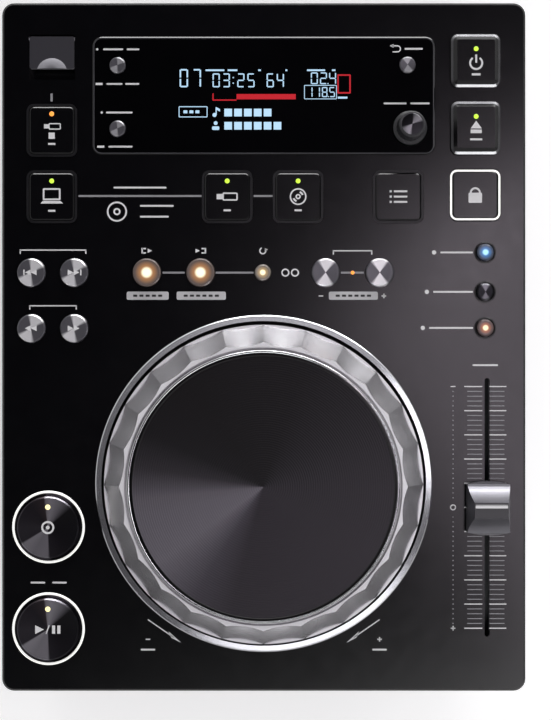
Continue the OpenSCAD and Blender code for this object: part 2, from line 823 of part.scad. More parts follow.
module key_frames() {
    color("#55565a")
    for (p = FLUSH_KEYS) at(p, under_z) difference() {
        plate(key_w, key_d, deck_t + 0.3, key_r);
        translate([0, 0, -eps])
            plate(key_w - 2 * frame_w, key_d - 2 * frame_w, deck_t + 2 * eps + 1, key_r - frame_w);
    }
}

module key_body(w, d) {
    translate([0, 0, under_z - seat - flange_t]) plate(w + 2, d + 2, flange_t, key_r);
    translate([0, 0, stem_z]) cylinder(r = stem_r, h = stem_h + 0.1);
}

module flush_key(spot) {
    w = key_w - 2 * frame_w - 2 * key_gap;
    d = key_d - 2 * frame_w - 2 * key_gap;
    color("#19191b") at(spot) {
        translate([0, 0, under_z - seat - 0.1])
            bevelled(w, d, deck_t + 0.7, key_r - frame_w - key_gap, 0.4, 0.3);
        key_body(key_w - 1, key_d - 1);
    }
}

module raised_key(spot) {
    color("#161618") at(spot) {
        translate([0, 0, under_z - seat - 0.1])
            bevelled(raised_w, raised_d, deck_t + seat + 0.1 + raised_h, key_r - key_gap,
                raised_bevel, raised_h - 1);
        key_body(raised_w, raised_d);
    }
}

module select_plunger() {
    color("#5d5e62")
    at(SELECT) difference() {
        union() {
            translate([0, 0, board_top + 1.2]) cylinder(r = 3.5, h = 6.6);
            translate([0, 0, board_top + 6 + knob_travel + seat]) cylinder(r = 5, h = 1);
        }
        translate([0, 0, board_top]) cylinder(r = 2 + fit, h = 9);
    }
}

module select_knob() {
    knob_z = board_top + 8;
    color("#3d3d40")
    at(SELECT) difference() {
        rotate_extrude()
            polygon([
                [0, board_top + 1.4], [2, board_top + 1.4], [2, knob_z],
                [knob_r - 1.2, knob_z], [knob_r - 1.2, deck_z + 0.8],
                [knob_r, deck_z + 1.2], [knob_r, deck_z + 2.2],
                [knob_r - 1.2, deck_z + 3.4], [knob_r - 1.6, deck_z + knob_h - 0.6],
                [knob_r - 2.2, deck_z + knob_h], [0, deck_z + knob_h - 0.4]
            ]);
        for (i = [0:23]) rotate(i * 15)
            translate([knob_r - 1.2, 0, deck_z + 3.8]) cylinder(r = 0.35, h = knob_h, $fn = 16);
    }
}

// ---- Tempo slider ----

module slider_body() {
    body_l = slider_travel + 26;
    color("#55565a")
    at([slider_x, slider_f]) difference() {
        translate([-7.5, -body_l / 2, under_z - 13]) cube([15, body_l, 13]);
        translate([-5.5, -body_l / 2 + 4, under_z - 11.5]) cube([11, body_l - 8, 10]);
        translate([-slider_slot_w / 2, -body_l / 2 + 8, under_z - 4])
            cube([slider_slot_w, body_l - 16, 8]);
    }
    color("#c9cacc")
    for (sx = [-1, 1]) at([slider_x + sx * 3.4, slider_f], under_z - 7)
        rotate([90, 0, 0]) cylinder(r = 1, h = body_l - 8, center = true, $fn = 32);
}

module tempo_slider() {
    color("#232326")
    at([slider_x, slider_f]) {
        difference() {
            translate([-5.2, -6, under_z - 9.4]) cube([10.4, 12, 7]);
            for (sx = [-1, 1]) translate([sx * 3.4, 0, under_z - 7])
                rotate([90, 0, 0]) cylinder(r = 1 + fit, h = 20, center = true, $fn = 32);
        }
        translate([-slider_slot_w / 2 + key_gap, -3, under_z - 3])
            cube([slider_slot_w - 2 * key_gap, 6, deck_t + 6]);
    }
    bow_r = (cap_w / 2) ^ 2 / (2 * end_bow) + end_bow / 2;
    color("#6e6f73")
    at([slider_x, slider_f], deck_z) intersection() {
        // side view: a flat ridge between two hollow slopes
        translate([-cap_w / 2, 0, 0]) rotate([90, 0, 90]) linear_extrude(cap_w)
            polygon([
                [-cap_l / 2, 0.8], [cap_l / 2, 0.8],
                for (i = [0:8]) slope_point(1 - i / 8, 1),
                for (i = [0:8]) slope_point(i / 8, -1)
            ]);
        // front view, wider at its foot than at its ridge
        translate([0, cap_l / 2, 0]) rotate([90, 0, 0]) linear_extrude(cap_l)
            polygon([
                [-cap_w / 2, 0.8], [cap_w / 2, 0.8], [cap_w / 2, cap_end_h],
                [ridge_w / 2, cap_h], [-ridge_w / 2, cap_h], [-cap_w / 2, cap_end_h]
            ]);
        // bowed ends
        intersection_for (s = [-1, 1]) translate([0, s * (cap_l / 2 - bow_r), 0])
            cylinder(r = bow_r, h = cap_h + 1, $fn = 256);
    }
}

// A point on the slider cap's slope, s from 0 at the ridge to 1 at the cap's end
function slope_point(s, side) = [
    side * (ridge_l + s * (cap_l - ridge_l)) / 2,
    cap_end_h + (cap_h - cap_end_h) * (1 - s) ^ 1.7
];

// ---- USB cover and socket ----

module usb_cover() {
    z0 = deck_z - cover_t - 0.1;
    ball_r = 2.2 * tab_r;
    color("#4a4a4e") {
        at([left_key_x, cover_f0 + cover_d / 2 - 0.2], z0)
            plate(cover_w, cover_d - 0.4, cover_t, 0.8);
        intersection() {
            at([left_key_x, cover_f0 - tab_r / 3], deck_z - sqrt(ball_r ^ 2 - tab_r ^ 2))
                sphere(r = ball_r);
            at([left_key_x, cover_f0 + cover_d / 2], z0 + 0.4)
                translate([-cover_w / 2, -cover_d / 2, 0]) cube([cover_w, cover_d, 4]);
        }
        at([left_key_x, hinge_f], hinge_z) rotate([0, 90, 0])
            cylinder(r = hinge_r, h = cover_w + 2, center = true, $fn = 32);
    }
}

module usb_socket() {
    top_z = deck_z - well_depth + 2;
    depth = 14;
    color("#c4c5c7")
    at([left_key_x, usb_f], top_z - depth) {
        difference() {
            translate([-usb_w / 2, -usb_h / 2, 0]) cube([usb_w, usb_h, depth]);
            translate([0, 0, depth / 2 + 1.2])
                cube([usb_w - 0.6, usb_h - 0.6, depth], center = true);
        }
    }
    color("#e9e9e6")
    at([left_key_x, usb_f + 1.1], top_z - depth + 1)
        translate([-5.6, -0.9, 0.2]) cube([11.2, 1.8, 11]);
}

// ---- Boards and power ----

module circuit_boards() {
    inner_x = window_w / 2 + 1.5;
    outer_x = case_w / 2 - case_wall - 1.6;
    color("#1d5a38")
    difference() {
        union() {
            // left strip, middle and right strip of the control board
            board_rect(-outer_x, -inner_x, 14, well_f0 - 4);
            board_rect(-outer_x, outer_x, loop_row - 11, mid_row + 11.4);
            board_rect(inner_x, outer_x, slider_f + slider_travel / 2 + 18, deck_d - 12);
        }
        at([0, jog_f], board_z - eps) cylinder(r = pan_r + 1.5, h = board_t + 2 * eps);
        screw_holes(board_z - eps, board_top + eps, post_r + 0.4);
    }
    color("#26262a")
    for (p = concat([CUE, PLAY, RELOOP], SMALL_BUTTONS, SIDE_BUTTONS, FLUSH_KEYS, RAISED_KEYS))
        at(p, board_top) switch_block();
    // main board on its spacers, with its chips
    main_x = 30 - case_w / 2;
    main_w = case_w / 2 - supply_w - 22 - main_x;
    main_d = 80;
    translate([main_x, fy(rear_face - main_d - 20), plate_top]) {
        color("#1d5a38") translate([0, 0, spacer_h]) cube([main_w, main_d, board_t]);
        color("#b59b4c")
        for (x = [6, main_w - 6], y = [6, main_d - 6])
            translate([x, y, 0]) cylinder(r = 2.5, h = spacer_h, $fn = 32);
        color("#2a2a2e") translate([0, 0, spacer_h + board_t]) {
            translate([26, 26, 0]) cube([28, 28, 2.4]);
            translate([66, 30, 0]) cube([18, 12, 1.8]);
            translate([66, 52, 0]) cube([12, 10, 1.8]);
        }
    }
}

module board_rect(x0, x1, f0, f1) {
    translate([x0, fy(f0), board_z]) cube([x1 - x0, f1 - f0, board_t]);
}

module power_supply() {
    w = supply_w;
    d = 84;
    bx = case_w / 2 - w - 12;
    bf = rear_face - d - 20;
    top = plate_top + spacer_h + board_t;
    color("#b8873f") translate([bx, fy(bf), plate_top + spacer_h]) cube([w, d, board_t]);
    color("#b59b4c")
    for (x = [6, w - 6], y = [6, d - 6])
        translate([bx + x, fy(bf + y), plate_top]) cylinder(r = 2.5, h = spacer_h, $fn = 32);
    // transformer and two capacitors
    color("#d6b13c") translate([bx + 8, fy(bf + 34), top]) cube([26, 24, 22]);
    color("#2c2c30")
    for (x = [14, 30]) translate([bx + x, fy(bf + 16), top]) cylinder(r = 6, h = 20);
}

// ---- Disc drive ----

module drive_frame() {
    x1 = drive_w / 2;
    color("#9a9b9e")
    difference() {
        union() {
            translate([-x1 - drive_wall, fy(drive_f0), drive_z])
                cube([2 * x1 + 2 * drive_wall, drive_len, drive_wall]);
            for (sx = [-1, 1]) {
                translate([sx * (x1 + drive_wall / 2), fy(drive_f0 + drive_len / 2), drive_z + 11])
                    cube([drive_wall, drive_len, 22], center = true);
                // arm pivot ears
                translate([sx * 17, fy(arm_pivot_f), (drive_z + arm_z) / 2 + 2])
                    cube([2, 8, arm_z - drive_z + 4], center = true);
            }
            // shelf under the loading motor
            translate([x1, fy(roller_f + 5), drive_z]) cube([22, 17, 0.8]);
            // upper guide over the disc's way in
            translate([-x1 - drive_wall, fy(drive_f0 + 1), slot_z + 4.4])
                cube([2 * x1 + 2 * drive_wall, 14, 1.5]);
            // rod ends
            for (x = [-rod_x, rod_x], f = [rod_start, rod_end])
                translate([x, fy(f), drive_z + drive_wall / 2 + 4]) cube([6, 3, 8.4], center = true);
            translate([lead_x, fy(disc_f + motor_r + 1), drive_z + drive_wall / 2 + 4])
                cube([6, 3, 8.4], center = true);
            for (x = [-52, 52], f = [26, 146])
                translate([x, fy(f), plate_top]) cylinder(r = 4, h = drive_z - plate_top + 0.1);
        }
        // bearings of the roller
        for (sx = [-1, 1]) at([sx * (x1 + 1), roller_f], roller_z)
            rotate([0, 90, 0]) cylinder(r = 1.2 + fit, h = 6, center = true, $fn = 32);
        at([0, arm_pivot_f], arm_z) rotate([0, 90, 0])
            cylinder(r = 1.5 + fit, h = 50, center = true, $fn = 32);
        at([lead_x, disc_f + motor_r + 1], rod_z) rotate([90, 0, 0])
            cylinder(r = 1 + fit, h = 10, center = true, $fn = 32);
        at([x1 + 1, roller_f + loading_dist], roller_z)
            rotate([0, 90, 0]) cylinder(r = 1.6, h = 6, center = true, $fn = 32);
        for (x = [-rod_x, rod_x])
            at([x, rod_end], rod_z) rotate([90, 0, 0])
                cylinder(r = rod_r + 0.02, h = 200, center = true, $fn = 32);
    }
    color("#d0d1d3")
    for (x = [-rod_x, rod_x])
        translate([x, fy(rod_end + 1), rod_z]) rotate([90, 0, 0])
            cylinder(r = rod_r, h = rod_end - rod_start + 2, $fn = 32);
}

module drive_motors() {
    color("#8f9093") {
        // spindle motor under the turntable
        at([0, disc_f], drive_z + drive_wall) difference() {
            cylinder(r = motor_r, h = disc_low - 6 - drive_z - drive_wall);
            translate([0, 0, 1]) cylinder(r = 1 + fit, h = 20, $fn = 32);
        }
        // loading motor beside the frame
        at([drive_w / 2 + drive_wall + 5.4, roller_f + loading_dist], roller_z)
            rotate([0, 90, 0]) difference() {
                cylinder(r = roller_z - drive_z - 1.1, h = 18);
                translate([0, 0, -1]) cylinder(r = 1 + fit, h = 6, $fn = 32);
            }
        // motor that turns the pickup's screw
        at([lead_x, rod_end + 2], rod_z) rotate([-90, 0, 0]) difference() {
            cylinder(r = 4.6, h = 12);
            translate([0, 0, -1]) cylinder(r = 1 + fit, h = 6, $fn = 32);
        }
    }
}

module loading_roller() {
    x1 = drive_w / 2;
    color("#2b2b2d")
    at([0, roller_f], roller_z) rotate([0, 90, 0]) rotate_extrude()
        polygon([
            [0, -x1 - 0.8], [1.2, -x1 - 0.8], [1.2, -x1 + 3], [roller_r, -x1 + 3],
            [roller_r - 0.5, -4], [roller_r - 0.5, 4], [roller_r, x1 - 3], [1.2, x1 - 3],
            [1.2, x1 + 5], [0, x1 + 5]
        ]);
    color("#e3e0d6")
    at([x1 + drive_wall + 0.6, roller_f], roller_z) along_x() difference() {
        linear_extrude(3) polygon(gear_points(roller_teeth, drive_m));
        translate([0, 0, -eps]) cylinder(r = 1.22, h = 4, $fn = 32);
    }
}

module loading_gear() {
    x0 = drive_w / 2 + drive_wall + 0.6;
    color("#e3e0d6")
    at([x0, roller_f + loading_dist], roller_z) along_x() {
        rotate(180 + 180 / loading_teeth) linear_extrude(3) polygon(gear_points(loading_teeth, drive_m));
        cylinder(r = 1, h = 8.6, $fn = 32);
        cylinder(r = 3, h = 4, $fn = 32);
    }
}

module turntable() {
    color("#39393d")
    at([0, disc_f]) rotate_extrude()
        polygon([
            [0, drive_z + drive_wall + 1.2], [1, drive_z + drive_wall + 1.2], [1, disc_low - 5.4],
            [4, disc_low - 5.4], [4, disc_low - 1.5], [14, disc_low - 1.5], [14, disc_low],
            [7.4, disc_low], [7.2, disc_low + 1.4], [6, disc_low + 2.4], [0, disc_low + 2.4]
        ]);
}

module clamp_arm() {
    puck_z = disc_low + 1.4;
    color("#7b7c80")
    difference() {
        union() {
            at([0, arm_pivot_f], arm_z) rotate([0, 90, 0])
                cylinder(r = 1.5, h = 35.6, center = true, $fn = 32);
            at([-13, arm_pivot_f - 3], arm_z - 1) cube([26, 5, 2]);
            at([0, 0], arm_z - 1) linear_extrude(1.4) polygon([
                [-13, arm_pivot_f], [-7, disc_f], [-5, disc_f - 8], [5, disc_f - 8],
                [7, disc_f], [13, arm_pivot_f]
            ]);
            at([0, disc_f], puck_z) cylinder(r = 12, h = arm_z - puck_z);
        }
        at([0, disc_f], puck_z - eps) cylinder(r = 8, h = 2 + eps);
    }
}

module optical_pickup() {
    color("#4c4d52")
    at([0, pickup_f]) difference() {
        union() {
            translate([-rod_x - 4, -pickup_l / 2, rod_z - 3]) cube([2 * rod_x + 8, pickup_l, 6]);
            translate([-9, -8, rod_z + 2.9]) cube([18, 16, 1.6]);
            translate([rod_x + 3.9, -4, rod_z - 3])
                cube([lead_x - rod_x - 3.9 - 1.5 - key_gap, 8, 6]);
        }
        for (sx = [-1, 1]) translate([sx * rod_x, 0, rod_z]) rotate([90, 0, 0])
            cylinder(r = rod_r + fit, h = pickup_l + 2, center = true, $fn = 32);
        translate([0, -3, rod_z + 2]) cylinder(r = 3.4, h = 5, $fn = 32);
    }
    color("#7fa9d6") at([0, pickup_f - 3], rod_z + 2) cylinder(r = 2.6, h = 3, $fn = 32);
}

module lead_screw() {
    f0 = disc_f + motor_r + 3;
    thread_l = rod_end + 1 - f0;
    turns = floor((thread_l - 2) / screw_lead);
    color("#c2c3c6")
    at([lead_x, f0], rod_z) rotate([-90, 0, 0]) rotate_extrude()
        polygon([
            [0, -3.4], [1, -3.4], [1, 0], [1.5, 0],
            // the thread shows as one groove for each turn
            for (i = [1:turns], g = [[1.5, -0.6], [1.15, 0], [1.5, 0.6]]) [g[0], i * screw_lead + g[1]],
            [1.5, thread_l], [1, thread_l], [1, thread_l + 4], [0, thread_l + 4]
        ]);
}

// ---- Rear sockets ----

module rear_sockets() {
    for (x = PHONO_XS) {
        color(x == PHONO_XS[0] ? "#e8e8e4" : "#b3262c")
        translate([x, fy(rear_face), sock_z]) rotate([-90, 0, 0]) tube(6.2, phono_r, collar_t);
        color("#cfcfd2")
        translate([x, fy(rear_face) - 8, sock_z]) rotate([-90, 0, 0]) difference() {
            cylinder(r = phono_r, h = 8 + collar_t + phono_len);
            translate([0, 0, 12]) cylinder(r = 1.6, h = 40, $fn = 32);
        }
    }
    color("#3a3a3c")
    translate([CONTROL_X, fy(rear_face), sock_z]) rotate([-90, 0, 0]) difference() {
        union() {
            translate([0, 0, -11]) cylinder(r = 4, h = 12.5);
            cylinder(r = 5, h = 1.5);
        }
        translate([0, 0, -10]) cylinder(r = control_r, h = 20, $fn = 32);
    }
    color("#c4c5c7") translate([USB_B_X, fy(rear_face), sock_z]) difference() {
        translate([-6, -15, -5.5]) cube([12, 15.6, 11]);
        translate([-5.4, -12, -4.9]) cube([10.8, 14, 9.8]);
    }
    color("#efefec") translate([USB_B_X, fy(rear_face), sock_z])
        translate([-2.8, -12, -1.6]) cube([5.6, 10, 3.2]);
    color("#161618") translate([INLET_X, fy(rear_face), sock_z]) difference() {
        union() {
            translate([-12, -16, -8]) cube([24, 17, 16]);
            translate([-14, 0, -10]) cube([28, 1.4, 20]);
        }
        translate([0, -13, 0]) rotate([-90, 0, 0]) linear_extrude(20)
            polygon(round_rect(17, 9.4, 4.2));
    }
    color("#c9b36b")
    for (sx = [-1, 1]) translate([INLET_X + sx * 4.3, fy(rear_face) - 14, sock_z])
        rotate([-90, 0, 0]) cylinder(r = 1.2, h = 12, $fn = 24);
}

top_panel();
lower_case();
bottom_plate();
rear_plate();
feet();
case_screws();
slot_bezel();
display_window();
display_module();
jog_trim_ring();
jog_bearing();
damper_body();
transport_rings();
key_frames();
slider_body();
usb_socket();
circuit_boards();
power_supply();
drive_frame();
drive_motors();
rear_sockets();
jog_wheel();
jog_spindle();
jog_top();
damper_pinion();
transport_button(CUE);  // cue_button
transport_button(PLAY);  // play_button
small_button(TRACK_BACK, small_r, "#8e8f93");  // track_back_button
small_button(TRACK_NEXT, small_r, "#8e8f93");  // track_next_button
small_button(SEARCH_BACK, small_r, "#8e8f93");  // search_back_button
small_button(SEARCH_NEXT, small_r, "#8e8f93");  // search_next_button
small_button(LOOP_IN, small_r, "#d8a25c");  // loop_in_button
small_button(LOOP_OUT, small_r, "#d8a25c");  // loop_out_button
small_button(RELOOP, tiny_r, "#d8a25c");  // reloop_button
small_button(BEAT_MINUS, small_r, "#8e8f93");  // beat_minus_button
small_button(BEAT_PLUS, small_r, "#8e8f93");  // beat_plus_button
small_button(JOG_MODE, side_r, "#4fa3dc");  // jog_mode_button
small_button(TEMPO_RANGE, side_r, "#4a4a4d");  // tempo_range_button
small_button(KEY_HOLD, side_r, "#d8a25c");  // key_hold_button
window_button(TIME);  // time_button
window_button(TEXT);  // text_button
window_button(BACK);  // back_button
select_plunger();
select_knob();
flush_key(LINK);  // link_key
flush_key(USB);  // usb_key
flush_key(DISC);  // disc_key
flush_key(LIST);  // list_key
flush_key(LOCK);  // lock_key
flush_key(USB_STOP);  // usb_stop_key
raised_key(POWER);  // power_key
raised_key(EJECT);  // eject_key
tempo_slider();
usb_cover();
loading_roller();
loading_gear();
turntable();
clamp_arm();
optical_pickup();
lead_screw();
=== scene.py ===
"""A tabletop disc player for mixing music: its finishes, printed marks, lamps and display.

Lengths are in millimetres until a mesh is made; MM turns them to metres. X runs to the
right, Y to the back and Z up. Places come from the frame's own pieces.
"""

import math

import bmesh
import bpy
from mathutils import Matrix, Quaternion, Vector


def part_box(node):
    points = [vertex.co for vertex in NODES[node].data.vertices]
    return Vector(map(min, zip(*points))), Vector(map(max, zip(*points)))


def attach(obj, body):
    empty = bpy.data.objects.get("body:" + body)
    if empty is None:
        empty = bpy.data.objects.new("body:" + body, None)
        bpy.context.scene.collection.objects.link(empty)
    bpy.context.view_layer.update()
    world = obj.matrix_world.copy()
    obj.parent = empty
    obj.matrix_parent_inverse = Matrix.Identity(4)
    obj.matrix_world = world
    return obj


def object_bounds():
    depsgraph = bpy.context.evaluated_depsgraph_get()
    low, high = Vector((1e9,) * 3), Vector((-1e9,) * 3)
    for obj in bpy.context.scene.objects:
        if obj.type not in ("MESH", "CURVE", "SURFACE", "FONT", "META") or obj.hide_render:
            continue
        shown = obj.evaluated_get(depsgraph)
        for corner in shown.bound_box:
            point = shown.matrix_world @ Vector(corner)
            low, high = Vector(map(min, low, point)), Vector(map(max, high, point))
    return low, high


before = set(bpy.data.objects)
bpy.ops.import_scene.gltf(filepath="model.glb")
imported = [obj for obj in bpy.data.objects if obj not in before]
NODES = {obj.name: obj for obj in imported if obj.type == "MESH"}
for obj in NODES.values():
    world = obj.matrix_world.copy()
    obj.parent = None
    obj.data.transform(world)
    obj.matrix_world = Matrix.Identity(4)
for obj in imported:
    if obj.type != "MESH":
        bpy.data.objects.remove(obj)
cad_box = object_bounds()

MM = 0.001
LIFT = 0.04   # how far printed ink stands above what it is printed on
SINK = 0.02   # how far a printed mark reaches into what carries it

DECK_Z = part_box("top_panel")[1].z / MM
FRONT = cad_box[0][1] / MM


def span(node):
    """The lowest and highest corner of a CAD node, in mm."""
    low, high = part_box(node)
    return low / MM, high / MM


def spot(node):
    """The middle of a CAD node seen from above, in mm."""
    low, high = span(node)
    return (low.x + high.x) / 2, (low.y + high.y) / 2


def top_of(node):
    return span(node)[1].z


def at_f(f):
    """The Y of a place that lies f behind the deck's front edge."""
    return FRONT + f


# ---- Flat outlines, each an outer loop and an inner loop or None ----

def arc(x, y, r, a0, a1, n=24):
    """Points on a circle from angle a0 to a1, in degrees."""
    angles = [math.radians(a0 + (a1 - a0) * i / n) for i in range(n + 1)]
    return [(x + r * math.cos(a), y + r * math.sin(a)) for a in angles]


def disc(x, y, r, n=32):
    return (arc(x, y, r, 0, 360 - 360 / n, n - 1), None)


def ring(x, y, outer, inner, n=48):
    last = 360 - 360 / n
    return (arc(x, y, outer, 0, last, n - 1), arc(x, y, inner, 0, last, n - 1))


def bow(x, y, outer, inner, a0, a1, n=24):
    """A piece of a ring, from angle a0 to a1."""
    return (arc(x, y, outer, a0, a1, n) + arc(x, y, inner, a1, a0, n), None)


def corners(x, y, w, h, r, n=5):
    """A rectangle's loop with round corners, about its middle."""
    loop = []
    for i, (sx, sy) in enumerate(((1, 1), (-1, 1), (-1, -1), (1, -1))):
        cx = x + sx * (w / 2 - r)
        cy = y + sy * (h / 2 - r)
        loop += arc(cx, cy, r, 90 * i, 90 * i + 90, n)
    return loop


def bar(x, y, w, h, r=0.0):
    if r <= 0:
        return ([(x + w / 2, y + h / 2), (x - w / 2, y + h / 2),
                 (x - w / 2, y - h / 2), (x + w / 2, y - h / 2)], None)
    return (corners(x, y, w, h, min(r, w / 2 - 0.01, h / 2 - 0.01)), None)


def box_line(x, y, w, h, r, t):
    """A line of width t along a round-cornered rectangle."""
    inner_r = max(r - t, 0.05)
    return (corners(x, y, w, h, r), corners(x, y, w - 2 * t, h - 2 * t, inner_r))


def line(x0, y0, x1, y1, t):
    """A straight line of width t."""
    length = math.hypot(x1 - x0, y1 - y0)
    ox = -(y1 - y0) / length * t / 2
    oy = (x1 - x0) / length * t / 2
    return ([(x0 + ox, y0 + oy), (x0 - ox, y0 - oy),
             (x1 - ox, y1 - oy), (x1 + ox, y1 + oy)], None)


def poly(*points):
    return (list(points), None)


def arrow(x, y, size, way=1):
    """A solid triangle that points right, or left where way is -1."""
    half = size * 0.5
    return poly((x - way * half, y + half), (x - way * half, y - half), (x + way * half, y))


def moved(shapes, dx, dy, scale=1.0):
    """The same outlines, scaled about the origin and then moved."""
    def shift(loop):
        return [(dx + scale * px, dy + scale * py) for px, py in loop]
    return [(shift(outer), shift(inner) if inner else None) for outer, inner in shapes]


# ---- Meshes ----

def finish_mesh(name, mesh, body, material, smooth=False):
    """Makes one piece of a bmesh and lets it ride on a body."""
    bmesh.ops.recalc_face_normals(mesh, faces=mesh.faces)
    data = bpy.data.meshes.new(name)
    mesh.to_mesh(data)
    mesh.free()
    for face in data.polygons:
        face.use_smooth = smooth
    piece = bpy.data.objects.new(name, data)
    bpy.context.scene.collection.objects.link(piece)
    data.materials.append(material)
    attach(piece, body)
    return piece


def add_prism(mesh, outer, inner, z0, z1):
    """A closed plate between two heights, with a hole where there is an inner loop."""
    def level(loop, z):
        return [mesh.verts.new((x * MM, y * MM, z * MM)) for x, y in loop]

    def wall(low, high):
        for i in range(len(low)):
            j = (i + 1) % len(low)
            mesh.faces.new((low[i], low[j], high[j], high[i]))

    out_low, out_high = level(outer, z0), level(outer, z1)
    wall(out_low, out_high)
    if inner is None:
        mesh.faces.new(out_high)
        mesh.faces.new(out_low)
        return
    in_low, in_high = level(inner, z0), level(inner, z1)
    wall(in_low, in_high)
    wall(out_high, in_high)
    wall(out_low, in_low)


def mark(name, body, material, shapes, z, lift=LIFT):
    """Flat marks printed, or lit, on the surface at height z."""
    mesh = bmesh.new()
    for outer, inner in shapes:
        add_prism(mesh, outer, inner, z - SINK, z + lift)
    return finish_mesh(name, mesh, body, material)


def add_lathe(mesh, x, y, profile, segments=64):
    """A turned solid about the vertical line through x, y. Profile points are (r, z).

    A profile that doesn't start on the line closes on itself, as a ring does.
    """
    rings = []
    for r, z in profile:
        if r < 1e-6:
            rings.append([mesh.verts.new((x * MM, y * MM, z * MM))])
        else:
            rings.append([
                mesh.verts.new(((x + r * math.cos(a)) * MM, (y + r * math.sin(a)) * MM, z * MM))
                for a in (2 * math.pi * i / segments for i in range(segments))
            ])
    if profile[0][0] > 1e-6:
        rings.append(rings[0])
    for low, high in zip(rings, rings[1:]):
        for i in range(segments):
            j = (i + 1) % segments
            if len(low) == 1:
                mesh.faces.new((low[0], high[j], high[i]))
            elif len(high) == 1:
                mesh.faces.new((low[i], low[j], high[0]))
            else:
                mesh.faces.new((low[i], low[j], high[j], high[i]))


def turned_piece(name, body, slot, material, x, y, profile, segments=64):
    """A turned solid that rides on a body."""
    mesh = bmesh.new()
    add_lathe(mesh, x, y, profile, segments)
    return finish_mesh(name, mesh, body, material, smooth=True)


# ---- Materials ----

def linear(colour):
    """An sRGB hex colour as the linear RGBA that a shader takes."""
    value = int(colour.lstrip("#"), 16)
    parts = [((value >> shift) & 255) / 255 for shift in (16, 8, 0)]
    return [c / 12.92 if c <= 0.04045 else ((c + 0.055) / 1.055) ** 2.4 for c in parts] + [1.0]


def add(tree, kind, inputs=(), **settings):
    """Adds a node: its settings, and its sockets' values or what is linked to them."""
    node = tree.nodes.new("ShaderNode" + kind)
    for name, value in settings.items():
        setattr(node, name, value)
    for socket, value in dict(inputs).items():
        if isinstance(value, bpy.types.NodeSocket):
            tree.links.new(value, node.inputs[socket])
        else:
            node.inputs[socket].default_value = value
    return node


def surface(name, colour, roughness, **sockets):
    """A material with one shader: its tree and the shader, to add detail to."""
    material = bpy.data.materials.new(name)
    material.use_nodes = True
    tree = material.node_tree
    shader = tree.nodes["Principled BSDF"]
    shader.inputs["Base Color"].default_value = linear(colour)
    shader.inputs["Roughness"].default_value = roughness
    for socket, value in sockets.items():
        shader.inputs[socket.replace("_", " ")].default_value = value
    return material, tree, shader


def feed(tree, shader, socket, value):
    tree.links.new(value, shader.inputs[socket])


def noise(tree, size, detail=3.0):
    """A noise value whose blotches are about size mm wide."""
    place = add(tree, "TexCoord").outputs["Object"]
    made = add(tree, "TexNoise", {"Vector": place, "Scale": 1 / (size * MM), "Detail": detail})
    return made.outputs["Fac"]


def between(tree, fac, low, high):
    """A number that runs from low to high as fac runs from 0.3 to 0.7."""
    made = add(tree, "MapRange", {"Value": fac, "From Min": 0.3, "From Max": 0.7,
                                  "To Min": low, "To Max": high})
    return made.outputs[0]


def tinted(tree, fac, low, high):
    """A colour that runs from low to high with fac."""
    made = add(tree, "Mix", {0: fac, 6: linear(low), 7: linear(high)}, data_type="RGBA")
    return made.outputs[2]


def ramp(tree, value, stops):
    """A colour that runs through the stops, each (value from 0 to 1, linear colour)."""
    made = add(tree, "ValToRGB", {0: value})
    points = made.color_ramp.elements
    points[0].position = stops[0][0]
    points[1].position = stops[-1][0]
    for place, _ in stops[1:-1]:
        points.new(place)
    for point, (_, colour) in zip(points, stops):
        point.color = colour
    return made.outputs[0]


def painted(stops):
    """Ramp stops from sRGB hex colours."""
    return [(place, linear(colour)) for place, colour in stops]


def grey(stops):
    """Ramp stops from linear brightnesses, which may be over 1."""
    return [(place, (level, level, level, 1)) for place, level in stops]


def bump(tree, shader, height, depth):
    """Presses a height pattern into the surface, depth mm at full height."""
    made = add(tree, "Bump", {"Height": height, "Distance": depth * MM, "Strength": 1.0})
    feed(tree, shader, "Normal", made.outputs[0])


def moulded(name, low, high, roughness, grain, depth, uneven=0.03, **sockets):
    """Moulded or coated stock: two near colours, uneven gloss and a fine grain."""
    material, tree, shader = surface(name, low, roughness, **sockets)
    blotch = between(tree, noise(tree, 14.0), 0.0, 1.0)
    feed(tree, shader, "Base Color", tinted(tree, blotch, low, high))
    feed(tree, shader, "Roughness",
         between(tree, noise(tree, 6.0), roughness - uneven, roughness + uneven))
    bump(tree, shader, noise(tree, grain, 2.0), depth)
    return material


def around(tree, x, y):
    """Angle about, and distance in mm from, the vertical line through x, y."""
    place = add(tree, "TexCoord").outputs["Object"]
    offset = add(tree, "VectorMath", {0: place, 1: (x * MM, y * MM, 0)}, operation="SUBTRACT")
    parts = add(tree, "SeparateXYZ", {0: offset.outputs[0]})
    angle = add(tree, "Math", {0: parts.outputs[1], 1: parts.outputs[0]}, operation="ARCTAN2")
    flat = add(tree, "VectorMath", {0: offset.outputs[0], 1: (1, 1, 0)}, operation="MULTIPLY")
    length = add(tree, "VectorMath", {0: flat.outputs[0]}, operation="LENGTH")
    far = add(tree, "Math", {0: length.outputs["Value"], 1: 1 / MM}, operation="MULTIPLY")
    return angle.outputs[0], far.outputs[0]


def wave(tree, value, factor, shift=0.0):
    """cos(value * factor + shift), as 0 to 1."""
    turned = add(tree, "Math", {0: value, 1: factor, 2: shift}, operation="MULTIPLY_ADD")
    swing = add(tree, "Math", {0: turned.outputs[0]}, operation="COSINE")
    return add(tree, "Math", {0: swing.outputs[0], 1: 0.5, 2: 0.5},
               operation="MULTIPLY_ADD").outputs[0]


def round_ramp(tree, angle, fan):
    """A colour that runs round an axis. The stops of the fan are shares of a turn from the left."""
    turn = add(tree, "MapRange", {"Value": angle, "From Min": -math.pi, "From Max": math.pi})
    return ramp(tree, turn.outputs[0], fan)


